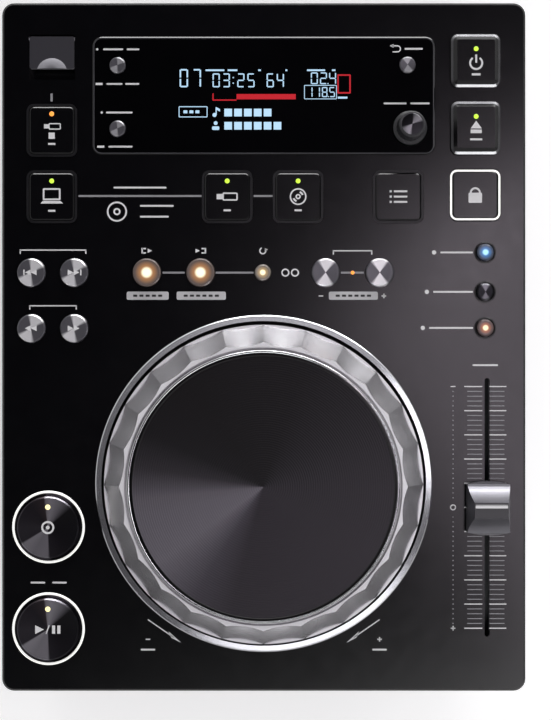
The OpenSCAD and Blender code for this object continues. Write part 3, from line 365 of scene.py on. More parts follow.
def spun(name, x, y, lean, dark, bright, roughness=0.32, metallic=0.9, pitch=0.5, depth=0.012,
         wedge=(0.62, 0.9)):
    """A cap spun on a lathe: fine rings, and two bright fans painted into its colour, a painted
    highlight shaped like the fans that rings throw.

    The fans lie along the direction lean, in degrees, and wedge is where each begins and is
    full. The rings are drawn coarser than real ones, about 0.1 mm apart, so that they show.
    """
    material, tree, shader = surface(name, dark, roughness, Metallic=metallic, Anisotropic=0.5)
    angle, far = around(tree, x, y)
    fans = wave(tree, angle, 2.0, -2 * math.radians(lean))
    feed(tree, shader, "Base Color",
         ramp(tree, fans, painted([(wedge[0], dark), (wedge[1], bright)])))
    bump(tree, shader, wave(tree, far, 2 * math.pi / pitch), depth)
    return material


def glowing(name, colour, strength, base="#20201f"):
    """A lamp or a lit segment."""
    material, tree, shader = surface(name, base, 0.3)
    shader.inputs["Emission Color"].default_value = linear(colour)
    shader.inputs["Emission Strength"].default_value = strength
    bump(tree, shader, noise(tree, 0.5, 2.0), 0.0008)
    return material


def coated_diffuser(name, colour, strength, base, coat="#101010"):
    """A diffuser with a black coat round its side, so that only its top and bevels glow."""
    material, tree, shader = surface(name, base, 0.3)
    normal = add(tree, "SeparateXYZ", {0: add(tree, "NewGeometry").outputs["Normal"]})
    upward = add(tree, "MapRange", {"Value": normal.outputs[2], "From Min": 0.2, "From Max": 0.5})
    glow = add(tree, "Math", {0: upward.outputs[0], 1: strength}, operation="MULTIPLY")
    feed(tree, shader, "Base Color", tinted(tree, upward.outputs[0], coat, base))
    feed(tree, shader, "Emission Strength", glow.outputs[0])
    shader.inputs["Emission Color"].default_value = linear(colour)
    return material


def by_slope(name, flat, sloped, level, rough, shiny):
    """Moulded stock whose flat top is one finish and whose slopes are another.

    flat and sloped are colours, rough and shiny the roughness and metal share of each. A
    face counts as flat where its normal's height is over level.
    """
    material, tree, shader = surface(name, flat, rough[0])
    normal = add(tree, "SeparateXYZ", {0: add(tree, "NewGeometry").outputs["Normal"]})
    slope = add(tree, "MapRange", {"Value": normal.outputs[2], "From Min": level,
                                   "From Max": level - 0.04})
    feed(tree, shader, "Base Color", tinted(tree, slope.outputs[0], flat, sloped))
    for socket, (low, high) in (("Roughness", rough), ("Metallic", shiny)):
        made = add(tree, "MapRange", {"Value": slope.outputs[0], "To Min": low, "To Max": high})
        feed(tree, shader, socket, made.outputs[0])
    bump(tree, shader, noise(tree, 0.6, 2.0), 0.0008)
    return material


# Satin ABS of the deck, spark-eroded mould: near black, a soft broad sheen
deck_abs = moulded("satin_black_abs", "#050507", "#070709", 0.2, 0.45, 0.001, uneven=0.01)
# Textured ABS of the lower case: greyer and duller
case_abs = moulded("textured_black_abs", "#1b1b1d", "#212123", 0.55, 0.8, 0.02)
# Polished: the disc slot's bezel, the body of the jog wheel's disc and the small collars
gloss_abs = moulded("polished_black_abs", "#0b0b0c", "#0f0f10", 0.14, 2.0, 0.0006, uneven=0.01)
# Black plastic of the inner parts, and the rubber of the feet and the loading roller
moulded_black = moulded("moulded_black_pom", "#1c1c1e", "#242427", 0.5, 0.6, 0.01)
rubber = moulded("matt_rubber", "#151515", "#1d1d1c", 0.8, 0.5, 0.03)
# Window over the display: nearly black, smooth
smoked_acrylic = moulded("smoked_acrylic", "#030304", "#040405", 0.08, 30.0, 0.0002, uneven=0.005)
# Metals: zinc-plated sheet, the painted rear plate, ground screws and shafts, and the chrome
# plate round the jog wheel
zinc_steel = moulded("zinc_plated_steel", "#9a9b9e", "#a9aaac", 0.34, 1.2, 0.004, Metallic=1.0)
painted_steel = moulded("black_painted_steel", "#1a1a1b", "#202021", 0.45, 0.4, 0.01)
ground_steel = moulded("ground_steel", "#a6a7aa", "#b4b5b8", 0.22, 0.7, 0.002, Metallic=1.0)
chrome = moulded("bright_chrome_plate", "#d4d5d8", "#e2e3e6", 0.09, 5.0, 0.0005, Metallic=1.0)
# Silver-plated ABS of the jog wheel: a pale satin land inside bright dimples
wheel_silver = by_slope("silver_plated_abs", "#e6e5e9", "#e4e2e7", 0.985, (0.45, 0.26), (0.15, 0.86))
# Plated shells of the sockets
nickel = moulded("nickel_plate", "#b9b6ae", "#c7c4bc", 0.25, 1.5, 0.001, Metallic=1.0)
# Gears and the knob's plunger, of bare acetal, and the circuit boards
acetal = moulded("natural_acetal", "#d4cfc2", "#dcd8cc", 0.45, 0.8, 0.004)
board_green = moulded("solder_mask_green", "#12492c", "#185a37", 0.3, 3.0, 0.01)
board_brown = moulded("phenolic_board", "#8a5d2a", "#9a6b33", 0.45, 2.0, 0.01)
# Grey ABS, with a polished finger tab whose slopes are painted pale grey: a painted highlight
cover_grey_painted_tab_highlight = by_slope("grey_abs_cover_painted_tab_highlight", "#3a393e", "#a3a2a8", 0.9995, (0.3, 0.2), (0.0, 0.3))
# Rims of the raised keys, and the select knob
satin_chrome = moulded("satin_chrome_plate", "#9a9a9d", "#a4a4a7", 0.2, 5.0, 0.0005, Metallic=1.0)
knob_grey = moulded("dark_grey_abs", "#2a2a2d", "#323235", 0.4, 0.4, 0.006)
# Metallic grey paint, dull on the slider cap's ridge
slider_grey = by_slope("grey_metallic_paint", "#3a393d", "#7d7c82", 0.985, (0.5, 0.34), (0.0, 0.8))
# Key frames, a shade paler than the deck, and the keys in them
frame_grey = moulded("key_frame_abs", "#131315", "#18181b", 0.35, 1.0, 0.002)
key_black = moulded("satin_key_abs", "#050507", "#070709", 0.22, 0.45, 0.001, uneven=0.01)
# Lit trim: a milky diffuser, and the same with a black coat round its side
lit_white = glowing("lit_white_diffuser", "#f4f4f0", 0.75, "#d8d8d4")
lit_ring = coated_diffuser("side_coated_diffuser", "#f4f4f0", 0.75, "#d8d8d4")
# Screen-printed inks
outline_ink = moulded("dark_grey_screen_ink", "#3a3a3e", "#424246", 0.5, 0.3, 0.002)
white_ink = moulded("white_screen_ink", "#dededf", "#e8e8e9", 0.6, 0.3, 0.002)
pill_ink = moulded("pale_grey_screen_ink", "#bcbcbe", "#c6c6c8", 0.6, 0.3, 0.002)
grey_ink = moulded("grey_screen_ink", "#8f8f93", "#9a9a9e", 0.6, 0.3, 0.002)
dark_ink = moulded("black_screen_ink", "#141414", "#1c1c1c", 0.6, 0.3, 0.002)
# Lamps, and the display's segments
led_green = glowing("green_led", "#b6e03a", 1.6)
led_amber = glowing("amber_led", "#ff9a3c", 1.5)
led_yellow = glowing("warm_white_led", "#fff3b0", 1.5)
segment_ice = glowing("ice_white_segments", "#bfe4ff", 1.0, "#05070a")
segment_red = glowing("red_segments", "#d2232f", 0.85, "#0a0405")

PLAIN = {
    "top_panel": deck_abs, "lower_case": case_abs, "bottom_plate": zinc_steel,
    "rear_plate": painted_steel, "feet": rubber, "case_screws": ground_steel,
    "slot_bezel": gloss_abs, "display_window": smoked_acrylic, "display_module": board_green,
    "jog_trim_ring": chrome, "jog_bearing": moulded_black, "damper_body": moulded_black,
    "transport_rings": lit_ring, "key_frames": frame_grey, "slider_body": zinc_steel,
    "usb_socket": nickel, "circuit_boards": board_green, "power_supply": board_brown,
    "drive_frame": zinc_steel, "drive_motors": zinc_steel, "rear_sockets": nickel,
    "jog_wheel": wheel_silver, "jog_spindle": ground_steel, "jog_top": gloss_abs,
    "damper_pinion": acetal, "select_plunger": acetal, "select_knob": knob_grey,
    "tempo_slider": slider_grey, "usb_cover": cover_grey_painted_tab_highlight, "loading_roller": rubber,
    "loading_gear": acetal, "turntable": moulded_black, "clamp_arm": zinc_steel,
    "optical_pickup": moulded_black, "lead_screw": ground_steel,
}
KEYS = (
    "link_key", "usb_key", "disc_key", "list_key", "lock_key", "usb_stop_key", "power_key",
    "eject_key",
)


def dress(node, material):
    """Gives a CAD node its material."""
    NODES[node].data.materials.clear()
    NODES[node].data.materials.append(material)


for node, material in PLAIN.items():
    dress(node, material)
for node in KEYS:
    dress(node, key_black)

# Spun caps, whose bright fans are painted highlights. The fans point to a spot behind the display,
# as if a lamp stood there.
PAINTED_FANS_AIM = (45.0, 270.0)


def lean_at(x, y):
    """The direction from x, y to the spot that the painted highlight fans point to, in degrees."""
    return math.degrees(math.atan2(PAINTED_FANS_AIM[1] - y, PAINTED_FANS_AIM[0] - x))


SILVER_CAPS = (
    "track_back_button", "track_next_button", "search_back_button", "search_next_button",
    "beat_minus_button", "beat_plus_button",
)
WINDOW_CAPS = ("time_button", "text_button", "back_button")
for node in SILVER_CAPS + WINDOW_CAPS:
    x, y = spot(node)
    # the caps' painted highlight fans, dimmer on the window's caps
    bright = "#b2b2b6" if node in WINDOW_CAPS else "#f4f4f6"
    dress(node, spun(node + "_spun_aluminium_painted_fans", x, y, lean_at(x, y), "#626167", bright,
                     metallic=0.5, wedge=(0.55, 0.78)))

# Painted highlights: sharp-edged bright fans painted into the caps' colour, shaped as a coarse cut
# throws them
CAP_PAINTED_FANS = painted([
    (0.0, "#38353b"), (0.082, "#302d33"), (0.094, "#918e95"), (0.17, "#807d84"),
    (0.25, "#8a878e"), (0.262, "#2a282d"), (0.35, "#232126"), (0.5, "#1d1c20"),
    (0.61, "#1a191c"), (0.66, "#6f6c73"), (0.73, "#96939a"), (0.762, "#8a868c"),
    (0.772, "#3b3437"), (0.85, "#2c292e"), (1.0, "#38353b"),
])


def coarse_cap(node):
    """A black metal cap with coarse rings, 0.8 mm apart, and painted highlight fans in its colour.
    """
    material, tree, shader = surface(node + "_black_spun_cap_painted_fans", "#2b292d", 0.34, Metallic=0.85,
                                     Anisotropic=0.5)
    angle, far = around(tree, *spot(node))
    feed(tree, shader, "Base Color", round_ramp(tree, angle, CAP_PAINTED_FANS))
    bump(tree, shader, wave(tree, far, 2 * math.pi / 0.8), 0.012)
    dress(node, material)


coarse_cap("cue_button")
coarse_cap("play_button")
# the tempo range cap: smoked, with painted highlight fans in its colour
x, y = spot("tempo_range_button")
dress("tempo_range_button",
      spun("tempo_range_smoked_cap_painted_fans", x, y, 90, "#26262a", "#77777c", roughness=0.3))


def lit_cap(node, core, halo, cap, glow, reach):
    """A clear cap over a lamp: bright in the middle, with a halo that ends reach mm out."""
    material, tree, shader = surface(node + "_lit_lens", cap, 0.22)
    _, far = around(tree, *spot(node))
    share = add(tree, "Math", {0: far, 1: reach}, operation="DIVIDE").outputs[0]
    lamp_light = painted([(0.0, core), (0.3, core), (0.54, halo), (1.0, "#000000")])
    feed(tree, shader, "Emission Color", ramp(tree, share, lamp_light))
    shader.inputs["Emission Strength"].default_value = glow
    dress(node, material)


for node in ("loop_in_button", "loop_out_button"):
    lit_cap(node, "#fffbd8", "#8c5a1c", "#6e615c", 1.25, 4.8)
lit_cap("reloop_button", "#fff4c8", "#86682c", "#8a8178", 1.2, 2.6)
lit_cap("key_hold_button", "#fff0c0", "#8c4718", "#5c4a48", 1.2, 2.6)
lit_cap("jog_mode_button", "#a9e4ff", "#1b5f98", "#3f4c60", 1.2, 2.8)

# ---- Marks on the deck ----

PLAY = spot("play_button")
CUE = spot("cue_button")
LOOP_Y = spot("reloop_button")[1]
SLOT_X = 93.0  # middle of the slider's slot
SCALE_LENGTH = 100.6  # of the slider's scale, from its first line to its last
SCALE_EDGE = 14.2  # how far left of the slot the scale's dots stand
JOG = spot("jog_top")
SCALE_Y = spot("slider_body")[1]
CAP_R = 12.8  # of the cue and play buttons
PILL_Y = LOOP_Y - 9.6
PILLS = ((-48.3, 17.5, 5), (-26.0, 20.5, 6), (37.3, 20.4, 6))  # middle, width and dashes of each

# Legends in the places of the usual words: thin bars and plain pictograms
LEGEND_H = 0.75


def legend(x0, x1, y):
    """A bar between x0 and x1, for a name that is left out."""
    return [bar((x0 + x1) / 2, y, x1 - x0, LEGEND_H, 0.3)]


def bracket(x0, x1, y, drop=1.6):
    """A line over a pair of buttons, with its ends turned down."""
    t = 0.5
    return [
        bar((x0 + x1) / 2, y, x1 - x0, t),
        bar(x0 + t / 2, y - drop / 2, t, drop),
        bar(x1 - t / 2, y - drop / 2, t, drop),
    ]


def button_marks():
    """Brackets over the track and search buttons, and signs round the loop buttons."""
    left = spot("track_back_button")[0]
    right = spot("track_next_button")[0]
    shapes = bracket(left - 5, right + 5, spot("track_back_button")[1] + 9.4)
    shapes += bracket(left - 1, right + 1, spot("search_back_button")[1] + 9.4)
    in_x = spot("loop_in_button")[0]
    out_x = spot("loop_out_button")[0]
    again_x = spot("reloop_button")[0]
    less_x = spot("beat_minus_button")[0]
    more_x = spot("beat_plus_button")[0]
    # brackets that open and close, each with an arrow that points into it
    top = LOOP_Y + 9.1
    for x, way in ((in_x, 1), (out_x, -1)):
        shapes += [bar(x - way * 2, top, 0.6, 2.4), bar(x - way * 1.2, top + 0.9, 1.6, 0.6),
                   bar(x - way * 1.2, top - 0.9, 1.6, 0.6), arrow(x + way * 1.2, top, 1.8)]
    # a turning arrow, and the pair's bracket
    shapes += [bow(again_x, top, 1.5, 0.95, -250, 40), arrow(again_x + 1.5, top + 0.5, 1.3)]
    shapes += bracket(less_x + 3, more_x - 3, top)
    # two rings for a loop, beside the reloop button
    shapes += [ring(again_x + 9.4, LOOP_Y, 1.7, 1.1), ring(again_x + 13.4, LOOP_Y, 1.7, 1.1)]
    # minus and plus below the pair
    low = LOOP_Y - 9.7
    shapes += [bar(less_x - 1.9, low, 1.9, 0.5), bar(more_x + 1.8, low, 1.9, 0.5),
               bar(more_x + 1.8, low, 0.5, 1.9)]
    return shapes


def side_names():
    """Names of the three side buttons, each after a dot, and of play and pause."""
    shapes = []
    for node, start in (("jog_mode_button", 69.5), ("tempo_range_button", 66.5),
                        ("key_hold_button", 64.8)):
        y = spot(node)[1]
        shapes += legend(start + 4, 87.1, y)
        shapes += [disc(start + 1.4, y, 0.9)]
    shapes += legend(PLAY[0] - 7.5, PLAY[0] - 1.5, PLAY[1] + 19.1)
    shapes += legend(PLAY[0] + 1.5, PLAY[0] + 7.5, PLAY[1] + 19.1)
    return shapes


def turning_marks():
    """The two ways of turning, below the jog wheel: arrows with minus and plus."""
    x = 48.2
    shapes = []
    for s in (-1, 1):
        shapes += [line(s * x, at_f(29.8), s * 37.5, at_f(22.4), 0.45),
                   poly((s * 39.6, at_f(24.9)), (s * 38.6, at_f(22.3)), (s * 34.4, at_f(20.2))),
                   bar(s * x, at_f(21.6), 1.9, 0.5)]
        shapes += legend(s * x - 3, s * x + 3, at_f(17.3))
    return shapes + [bar(x, at_f(21.6), 0.5, 1.9)]


def source_marks():
    """The source keys' name over their line, and a disc and two names below it."""
    shapes = legend(-62.5, -40.5, at_f(209.6))
    shapes += [ring(-61.1, at_f(199.6), 4.2, 3.5), ring(-61.1, at_f(199.6), 1.5, 0.8)]
    return shapes + legend(-51.5, -37.5, at_f(202.0)) + legend(-51.5, -39.5, at_f(197.5))


def deck_marks():
    """The white marks on the deck, apart from the slider's scale."""
    slider_name = legend(86.9, 97.5, at_f(135.7))
    return button_marks() + side_names() + turning_marks() + source_marks() + slider_name


def slider_marks():
    """Strong lines every tenth of the travel, on both sides of the slot, and -, o and +."""
    shapes = []
    for i in range(-5, 6):
        y = SCALE_Y + i * SCALE_LENGTH / 10
        shapes += [bar(SLOT_X - 5.8, y, 7.5, 0.45), bar(SLOT_X + 4.4, y, 7.1, 0.45)]
    edge = SLOT_X - SCALE_EDGE
    top = SCALE_Y + SCALE_LENGTH / 2
    foot = SCALE_Y - SCALE_LENGTH / 2
    shapes += [bar(edge, top, 2.0, 0.4), bar(edge, foot, 1.9, 0.4), bar(edge, foot, 0.4, 1.9),
               ring(edge, SCALE_Y, 1.25, 0.8)]
    return shapes


def slider_fine_marks():
    """Thin lines between the strong ones, and the scale's dots."""
    shapes = []
    for i in range(-25, 26):
        y = SCALE_Y + i * SCALE_LENGTH / 50
        if i % 5:
            shapes += [bar(SLOT_X - 5.2, y, 6.2, 0.34), bar(SLOT_X + 4.0, y, 6.3, 0.34)]
        if abs(i) not in (0, 1, 25):
            shapes += [disc(SLOT_X - SCALE_EDGE, y, 0.28, 12)]
    return shapes


def link_lines():
    """Grey lines that join buttons which work together."""
    return [
        bar(-37.5, LOOP_Y, 9.2, 0.8), bar(-12.1, LOOP_Y, 15.8, 0.8), bar(36.9, LOOP_Y, 9.6, 0.8),
        bar(-51.5, at_f(206.1), 51.2, 0.8), bar(-0.2, at_f(206.1), 8.0, 0.8),
        bar(-88.3, at_f(247.1), 0.9, 3.3),
    ]


def pills():
    """Pale plates with round corners, below the loop buttons."""
    return [bar(x, PILL_Y, width, 3.4, 0.7) for x, width, _ in PILLS]


def pill_marks():
    """Small dark dashes that stand in the pills."""
    shapes = []
    for x, _, count in PILLS:
        for i in range(count):
            shapes.append(bar(x + (i - (count - 1) / 2) * 2.6, PILL_Y, 1.7, 0.9, 0.2))
    return shapes


mark("deck_legends", "root", white_ink, deck_marks(), DECK_Z)
mark("slider_scale", "root", white_ink, slider_marks(), DECK_Z)
mark("slider_fine_scale", "root", grey_ink, slider_fine_marks(), DECK_Z)
mark("link_lines", "root", grey_ink, link_lines(), DECK_Z)
mark("deck_pills", "root", pill_ink, pills(), DECK_Z)
mark("pill_dashes", "root", dark_ink, pill_marks(), DECK_Z + LIFT)

# ---- Marks and lamps on keys and buttons ----

# Pictograms about their own middles. The memory stick lies with its plug to the left.
STICK = [box_line(1.2, 0, 6.4, 3.4, 0.7, 0.6), bar(-3.2, 0, 2.4, 2.2)]
COMPUTER = [
    box_line(0, 1.0, 7.4, 5.0, 0.5, 0.7),
    poly((-4.7, -2.9), (4.7, -2.9), (3.7, -1.8), (-3.7, -1.8)),
]
PLATTER = [
    ring(0, 0, 3.5, 2.9), ring(0, 0, 1.1, 0.5),
    bow(0, 0, 2.4, 1.6, 20, 70), bow(0, 0, 2.4, 1.6, 200, 250),
]
ROW_STEPS = (2.2, 0, -2.2)
ROWS = [bar(-3.2, y, 0.9, 0.9) for y in ROW_STEPS] + [bar(0.9, y, 5.6, 0.8) for y in ROW_STEPS]
PADLOCK = [bar(0, -1.2, 5.6, 4.2, 0.5), bow(0, 0.9, 2.3, 1.5, 0, 180)]
STOP = [bar(0, 0, 2.6, 2.6)]
ON_OFF = [bow(0, 0, 2.9, 2.1, 125, 415), bar(0, 1.8, 0.8, 3.4)]
OUT = [poly((-2.3, -0.3), (2.3, -0.3), (0, 2.9)), bar(0, -1.5, 4.6, 1.5)]
DASH = [bar(0, 0, 3.0, 0.8)]


def key_marks(node, shapes):
    """White signs on a key's face, placed about its middle."""
    x, y = spot(node)
    mark(node + "_legend", node, white_ink, moved(shapes, x, y), top_of(node))


key_marks("link_key", COMPUTER + moved(DASH, 0, -5.9))
key_marks("usb_key", STICK + moved(DASH, 0, -5.7))
key_marks("disc_key", PLATTER + moved(DASH, 0, -5.7))
key_marks("list_key", ROWS)
key_marks("lock_key", PADLOCK)
key_marks("usb_stop_key",
          moved(STICK, 0.3, 1.6, 0.8) + moved(STOP, 0, -2.3) + moved(DASH, 0, -5.7))
key_marks("power_key", moved(ON_OFF, 0, -1.3) + moved([bar(0, 0, 3.6, 0.9)], 0, -6.0))
key_marks("eject_key", moved(OUT, 0, -0.2) + [bar(0, -5.0, 5.0, 0.8)])

# the lock key's frame is lit all round
mark("lock_key_lit_line", "root", lit_white,
     [box_line(*spot("lock_key"), 20.9, 21.0, 2.9, 0.8)], top_of("key_frames"))


def add_band(mesh, x, y, sections):
    """A closed band about x, y. A section is a round-cornered outline: width, depth, radius, z."""
    loops = [[mesh.verts.new((px * MM, py * MM, z * MM)) for px, py in corners(x, y, w, d, r, 6)]
             for w, d, r, z in sections]
    for low, high in zip(loops, loops[1:] + loops[:1]):
        for i in range(len(low)):
            j = (i + 1) % len(low)
            mesh.faces.new((low[i], low[j], high[j], high[i]))


def chrome_rim(node):
    """A bright line along the foot of a raised key's bevel."""
    x, y = spot(node)
    foot = DECK_Z + 1.0
    w, d, r = 20.4, 21.8, 2.9  # width, depth and corner radius at the bevel's foot
    mesh = bmesh.new()
    add_band(mesh, x, y, [
        (w + 0.1, d + 0.1, r + 0.05, foot - 0.2), (w + 0.1, d + 0.1, r + 0.05, foot + 0.42),
        (w - 1.9, d - 1.9, r - 0.95, foot + 0.95), (w - 2.0, d - 2.0, r - 1.0, foot + 0.6),
        (w - 0.6, d - 0.6, r - 0.3, foot - 0.2)])
    finish_mesh(node + "_rim", mesh, node, satin_chrome)


chrome_rim("power_key")
chrome_rim("eject_key")


def lamp(name, body, material, x, y, z, r):
    """The domed end of a small lamp, set in what carries it."""
    foot = z - 0.3
    rise = 0.35
    dome = [(r * math.cos(math.radians(a)), z + rise * math.sin(math.radians(a)))
            for a in (0, 22.5, 45, 67.5)]
    turned_piece(name, body, "lit_diffuser", material, x, y,
                 [(0, foot), (r, foot)] + dome + [(0, z + rise)], 24)


for node, dy, material in (
    ("link_key", 6.5, led_green), ("usb_key", 6.5, led_green), ("disc_key", 6.5, led_green),
    ("usb_stop_key", 6.8, led_amber), ("power_key", 4.6, led_green), ("eject_key", 4.5, led_green),
):
    x, y = spot(node)
    lamp(node + "_lamp", node, material, x, y + dy, top_of(node), 1.0)
for node in ("cue_button", "play_button"):
    x, y = spot(node)
    lamp(node + "_lamp", node, led_yellow, x, y + 0.66 * CAP_R, top_of(node) - 0.4, 1.1)
lamp("beat_lamp", "root", led_amber, 37.0, LOOP_Y, DECK_Z, 0.8)

# cue: a point in a ring; play and pause: their usual signs
cap_z = top_of("cue_button") - 0.15
mark("cue_sign", "cue_button", white_ink,
     moved([ring(0, 0, 2.7, 1.9), disc(0, 0, 0.8)], *CUE), cap_z, 0.12)
mark("play_sign", "play_button", white_ink,
     moved([arrow(-3.4, 0, 3.6), line(-0.7, -1.8, 0.6, 1.8, 0.45), bar(2.4, 0, 1.3, 3.4),
            bar(4.6, 0, 1.3, 3.4)], *PLAY), cap_z, 0.12)


def step_sign(node, way, stopped):
    """Two triangles that point one way, behind a bar where the step is a whole track."""
    x, y = spot(node)
    shapes = [arrow(-1.35, 0, 2.4, way), arrow(1.15, 0, 2.4, way)]
    if stopped:
        shapes.append(bar(way * 2.9, 0, 0.55, 2.4))
    mark(node + "_sign", node, white_ink, moved(shapes, x, y),
         top_of(node) - 0.12, 0.1)


step_sign("track_back_button", -1, True)
step_sign("track_next_button", 1, True)
step_sign("search_back_button", -1, False)
step_sign("search_next_button", 1, False)

# dark collars round the side buttons
for node in ("jog_mode_button", "tempo_range_button", "key_hold_button"):
    turned_piece(node + "_collar", "root", "moulded_black", gloss_abs, *spot(node), [
        (3.75, DECK_Z - 1), (4.5, DECK_Z - 1), (4.5, DECK_Z + 0.25), (4.25, DECK_Z + 0.5),
        (3.95, DECK_Z + 0.5), (3.75, DECK_Z + 0.3)], 48)

# the select knob's turned face, with painted highlight fans in its colour
x, y = spot("select_knob")
knob_z = top_of("select_knob")
turned_piece("select_knob_face", "select_knob", "knob_grey",
             spun("select_knob_face_spun_painted_fans", x, y, 50, "#2b2a2e", "#a9a8ad", pitch=0.6), x, y,
             [(0, knob_z - 0.5), (4.4, knob_z - 0.5), (4.4, knob_z - 0.06), (4.1, knob_z + 0.02),
              (0, knob_z + 0.02)], 48)

# a white line across the ridge of the slider's cap, and behind it a thin pale line, a painted
# highlight on the ridge's back edge
x, y = spot("tempo_slider")
ridge_z = top_of("tempo_slider")
mark("slider_line", "tempo_slider", white_ink, [bar(x, y + 1.4, 13.2, 1.0, 0.2)],
     ridge_z, 0.12)
mark("slider_edge_painted_highlight", "tempo_slider", pill_ink, [bar(x, y + 2.2, 13.0, 0.3)],
     ridge_z)

# ---- Display ----

WINDOW = spot("display_window")
WINDOW_Z = top_of("display_window")
# The printed outline runs 0.5 mm inside the window's edge
WINDOW_SIZE = [span("display_window")[1][i] - span("display_window")[0][i] - 1.0 for i in (0, 1)]
# Which strokes each figure lights: a top, b and c right, d foot, e and f left, g middle
SEGMENTS = {
    "0": "abcdef", "1": "bc", "2": "abged", "3": "abgcd", "4": "fgbc", "5": "afgcd",
    "6": "afgedc", "7": "abc", "8": "abcdefg", "9": "abcfgd",
}


def digit(figure, x, y, w, h, t):
    """A seven-stroke figure whose lower left corner is at x, y."""
    gap = t * 0.25
    half = h / 2
    upright = half - t * 0.5 - 2 * gap
    across = w - t - 2 * gap
    strokes = {
        "a": bar(x + w / 2, y + h - t / 2, across, t), "d": bar(x + w / 2, y + t / 2, across, t),
        "g": bar(x + w / 2, y + half, across, t),
        "f": bar(x + t / 2, y + half + half / 2, t, upright),
        "b": bar(x + w - t / 2, y + half + half / 2, t, upright),
        "e": bar(x + t / 2, y + half / 2, t, upright),
        "c": bar(x + w - t / 2, y + half / 2, t, upright),
    }
    return [strokes[s] for s in SEGMENTS[figure]]


def number(text, x, y, w, h, t, pitch):
    """Figures of w by h in strokes of width t, set pitch apart, with colons and points between."""
    shapes = []
    for figure in text:
        if figure == ":":
            shapes += [bar(x + 0.2, y + h * 0.3, t, t), bar(x + 0.2, y + h * 0.7, t, t)]
            x += pitch * 0.45
        elif figure == ".":
            shapes += [bar(x - (pitch - w) / 2, y + t / 2, t, t)]
        else:
            shapes += digit(figure, x, y, w, h, t)
            x += pitch
    return shapes


def blocks(x, y, count, w, h):
    """A row of plain blocks, 0.9 mm apart, where a display would spell a name."""
    return [bar(x + w / 2 + i * (w + 0.9), y + h / 2, w, h) for i in range(count)]


def display_figures():
    """Made-up counts and times, small labels as bars, and two rows of blocks."""
    row = at_f(251.3)
    shapes = number("07", -35.0, row, 3.5, 7.6, 0.62, 5.4)
    shapes += number("03:25", -21.3, row, 3.0, 5.8, 0.5, 4.2)
    shapes += number("64", 1.2, row, 3.0, 5.8, 0.5, 4.2)
    shapes += number("02.4", 19.6, at_f(252.6), 2.9, 4.9, 0.45, 3.8)
    shapes += number("118.5", 18.0, at_f(247.2), 2.3, 4.2, 0.42, 3.1)
    shapes += [box_line(23.6, at_f(249.3), 13.6, 5.9, 0.4, 0.28)]
    shapes += [box_line(-29.4, at_f(241.1), 12.0, 4.6, 0.4, 0.35)]
    shapes += blocks(-33.4, at_f(240.5), 3, 1.6, 1.2)
    for x0, x1 in ((-24.2, -16.4), (-15.0, -11.0), (-2.3, -1.2), (9.0, 9.8), (18.0, 25.5),
                   (28.4, 29.8)):
        shapes.append(bar((x0 + x1) / 2, at_f(258.4), x1 - x0, 0.7))
    shapes.append(bar(32.8, at_f(247.0), 4.0, 0.8))
    # a note, and a head over shoulders, lead the two rows
    shapes += [disc(-20.5, at_f(239.8), 0.85, 16), bar(-19.8, at_f(241.4), 0.45, 3.2),
               poly((-19.6, at_f(243.0)), (-19.6, at_f(241.9)), (-18.2, at_f(241.2)),
                    (-18.2, at_f(242.2)))]
    shapes += [disc(-20.0, at_f(236.4), 0.8, 16), bar(-20.0, at_f(234.3), 3.0, 1.5, 0.5)]
    shapes += blocks(-16.4, at_f(239.2), 5, 3.2, 3.2)
    shapes += blocks(-16.4, at_f(233.7), 6, 3.2, 3.2)
    return shapes


def display_bars():
    """The red bar that shows how far the disc has played, its end lines, and a red box."""
    return [
        bar(1.0, at_f(247.4), 24.6, 2.2), bar(-16.3, at_f(246.0), 10.0, 0.5),
        bar(-21.1, at_f(247.3), 0.5, 2.9), box_line(33.4, at_f(252.7), 5.6, 8.0, 0.4, 0.6),
    ]


def window_marks():
    """Bars and dots in the places of the names of the window's buttons."""
    shapes = [disc(-69.3, at_f(267.1), 0.5, 12), disc(-67.4, at_f(240.8), 0.5, 12)]
    shapes += legend(-66.8, -58.5, at_f(267.1)) + legend(-57.0, -51.8, at_f(267.1))
    shapes += [bar(-68.5, at_f(252.7), 2.9, 0.9)] + legend(-65.4, -58.8, at_f(252.7))
    shapes += legend(-57.6, -51.8, at_f(252.7)) + legend(-65.6, -54.6, at_f(240.8))
    shapes += [bar(-67.8, at_f(226.6), 2.9, 0.9)] + legend(-64.6, -54.6, at_f(226.6))
    # a return arrow, and the knob's own name
    shapes += [bow(55.6, at_f(267.3), 1.5, 1.0, -90, 90), bar(54.4, at_f(268.55), 2.4, 0.5),
               arrow(53.2, at_f(268.55), 1.6, -1), bar(54.6, at_f(266.05), 2.0, 0.5)]
    shapes += legend(58.6, 66.2, at_f(267.3))
    shapes += legend(49.9, 59.4, at_f(244.6)) + legend(61.0, 69.0, at_f(244.6))
    return shapes


mark("display_figures", "root", segment_ice, display_figures(), WINDOW_Z, 0.02)
mark("display_bars", "root", segment_red, display_bars(), WINDOW_Z, 0.02)
mark("window_legends", "root", white_ink, window_marks(), WINDOW_Z)
mark("window_outline", "root", outline_ink,
     [box_line(*WINDOW, *WINDOW_SIZE, 3.4, 0.4)], WINDOW_Z)

# ---- Jog wheel's top: turned grooves ----

# Painted highlight: a broad light fan painted into the disc's colour, as the grooves throw one, and
# a fainter one across from it
DISC_PAINTED_FAN = painted([
    (0.0, "#4b474e"), (0.015, "#5c585f"), (0.04, "#625e66"), (0.1, "#66626a"), (0.16, "#3e3a42"),
    (0.21, "#29252b"), (0.28, "#2a262c"), (0.42, "#29252b"), (0.5, "#262228"), (0.6, "#1b181d"),
    (0.7, "#0d0a0e"), (0.85, "#090609"), (0.93, "#0e0b10"), (0.975, "#2b282d"), (1.0, "#4b474e"),
])
DISC_R = (span("jog_top")[1].x - span("jog_top")[0].x) / 2
DISC_Z = top_of("jog_top")


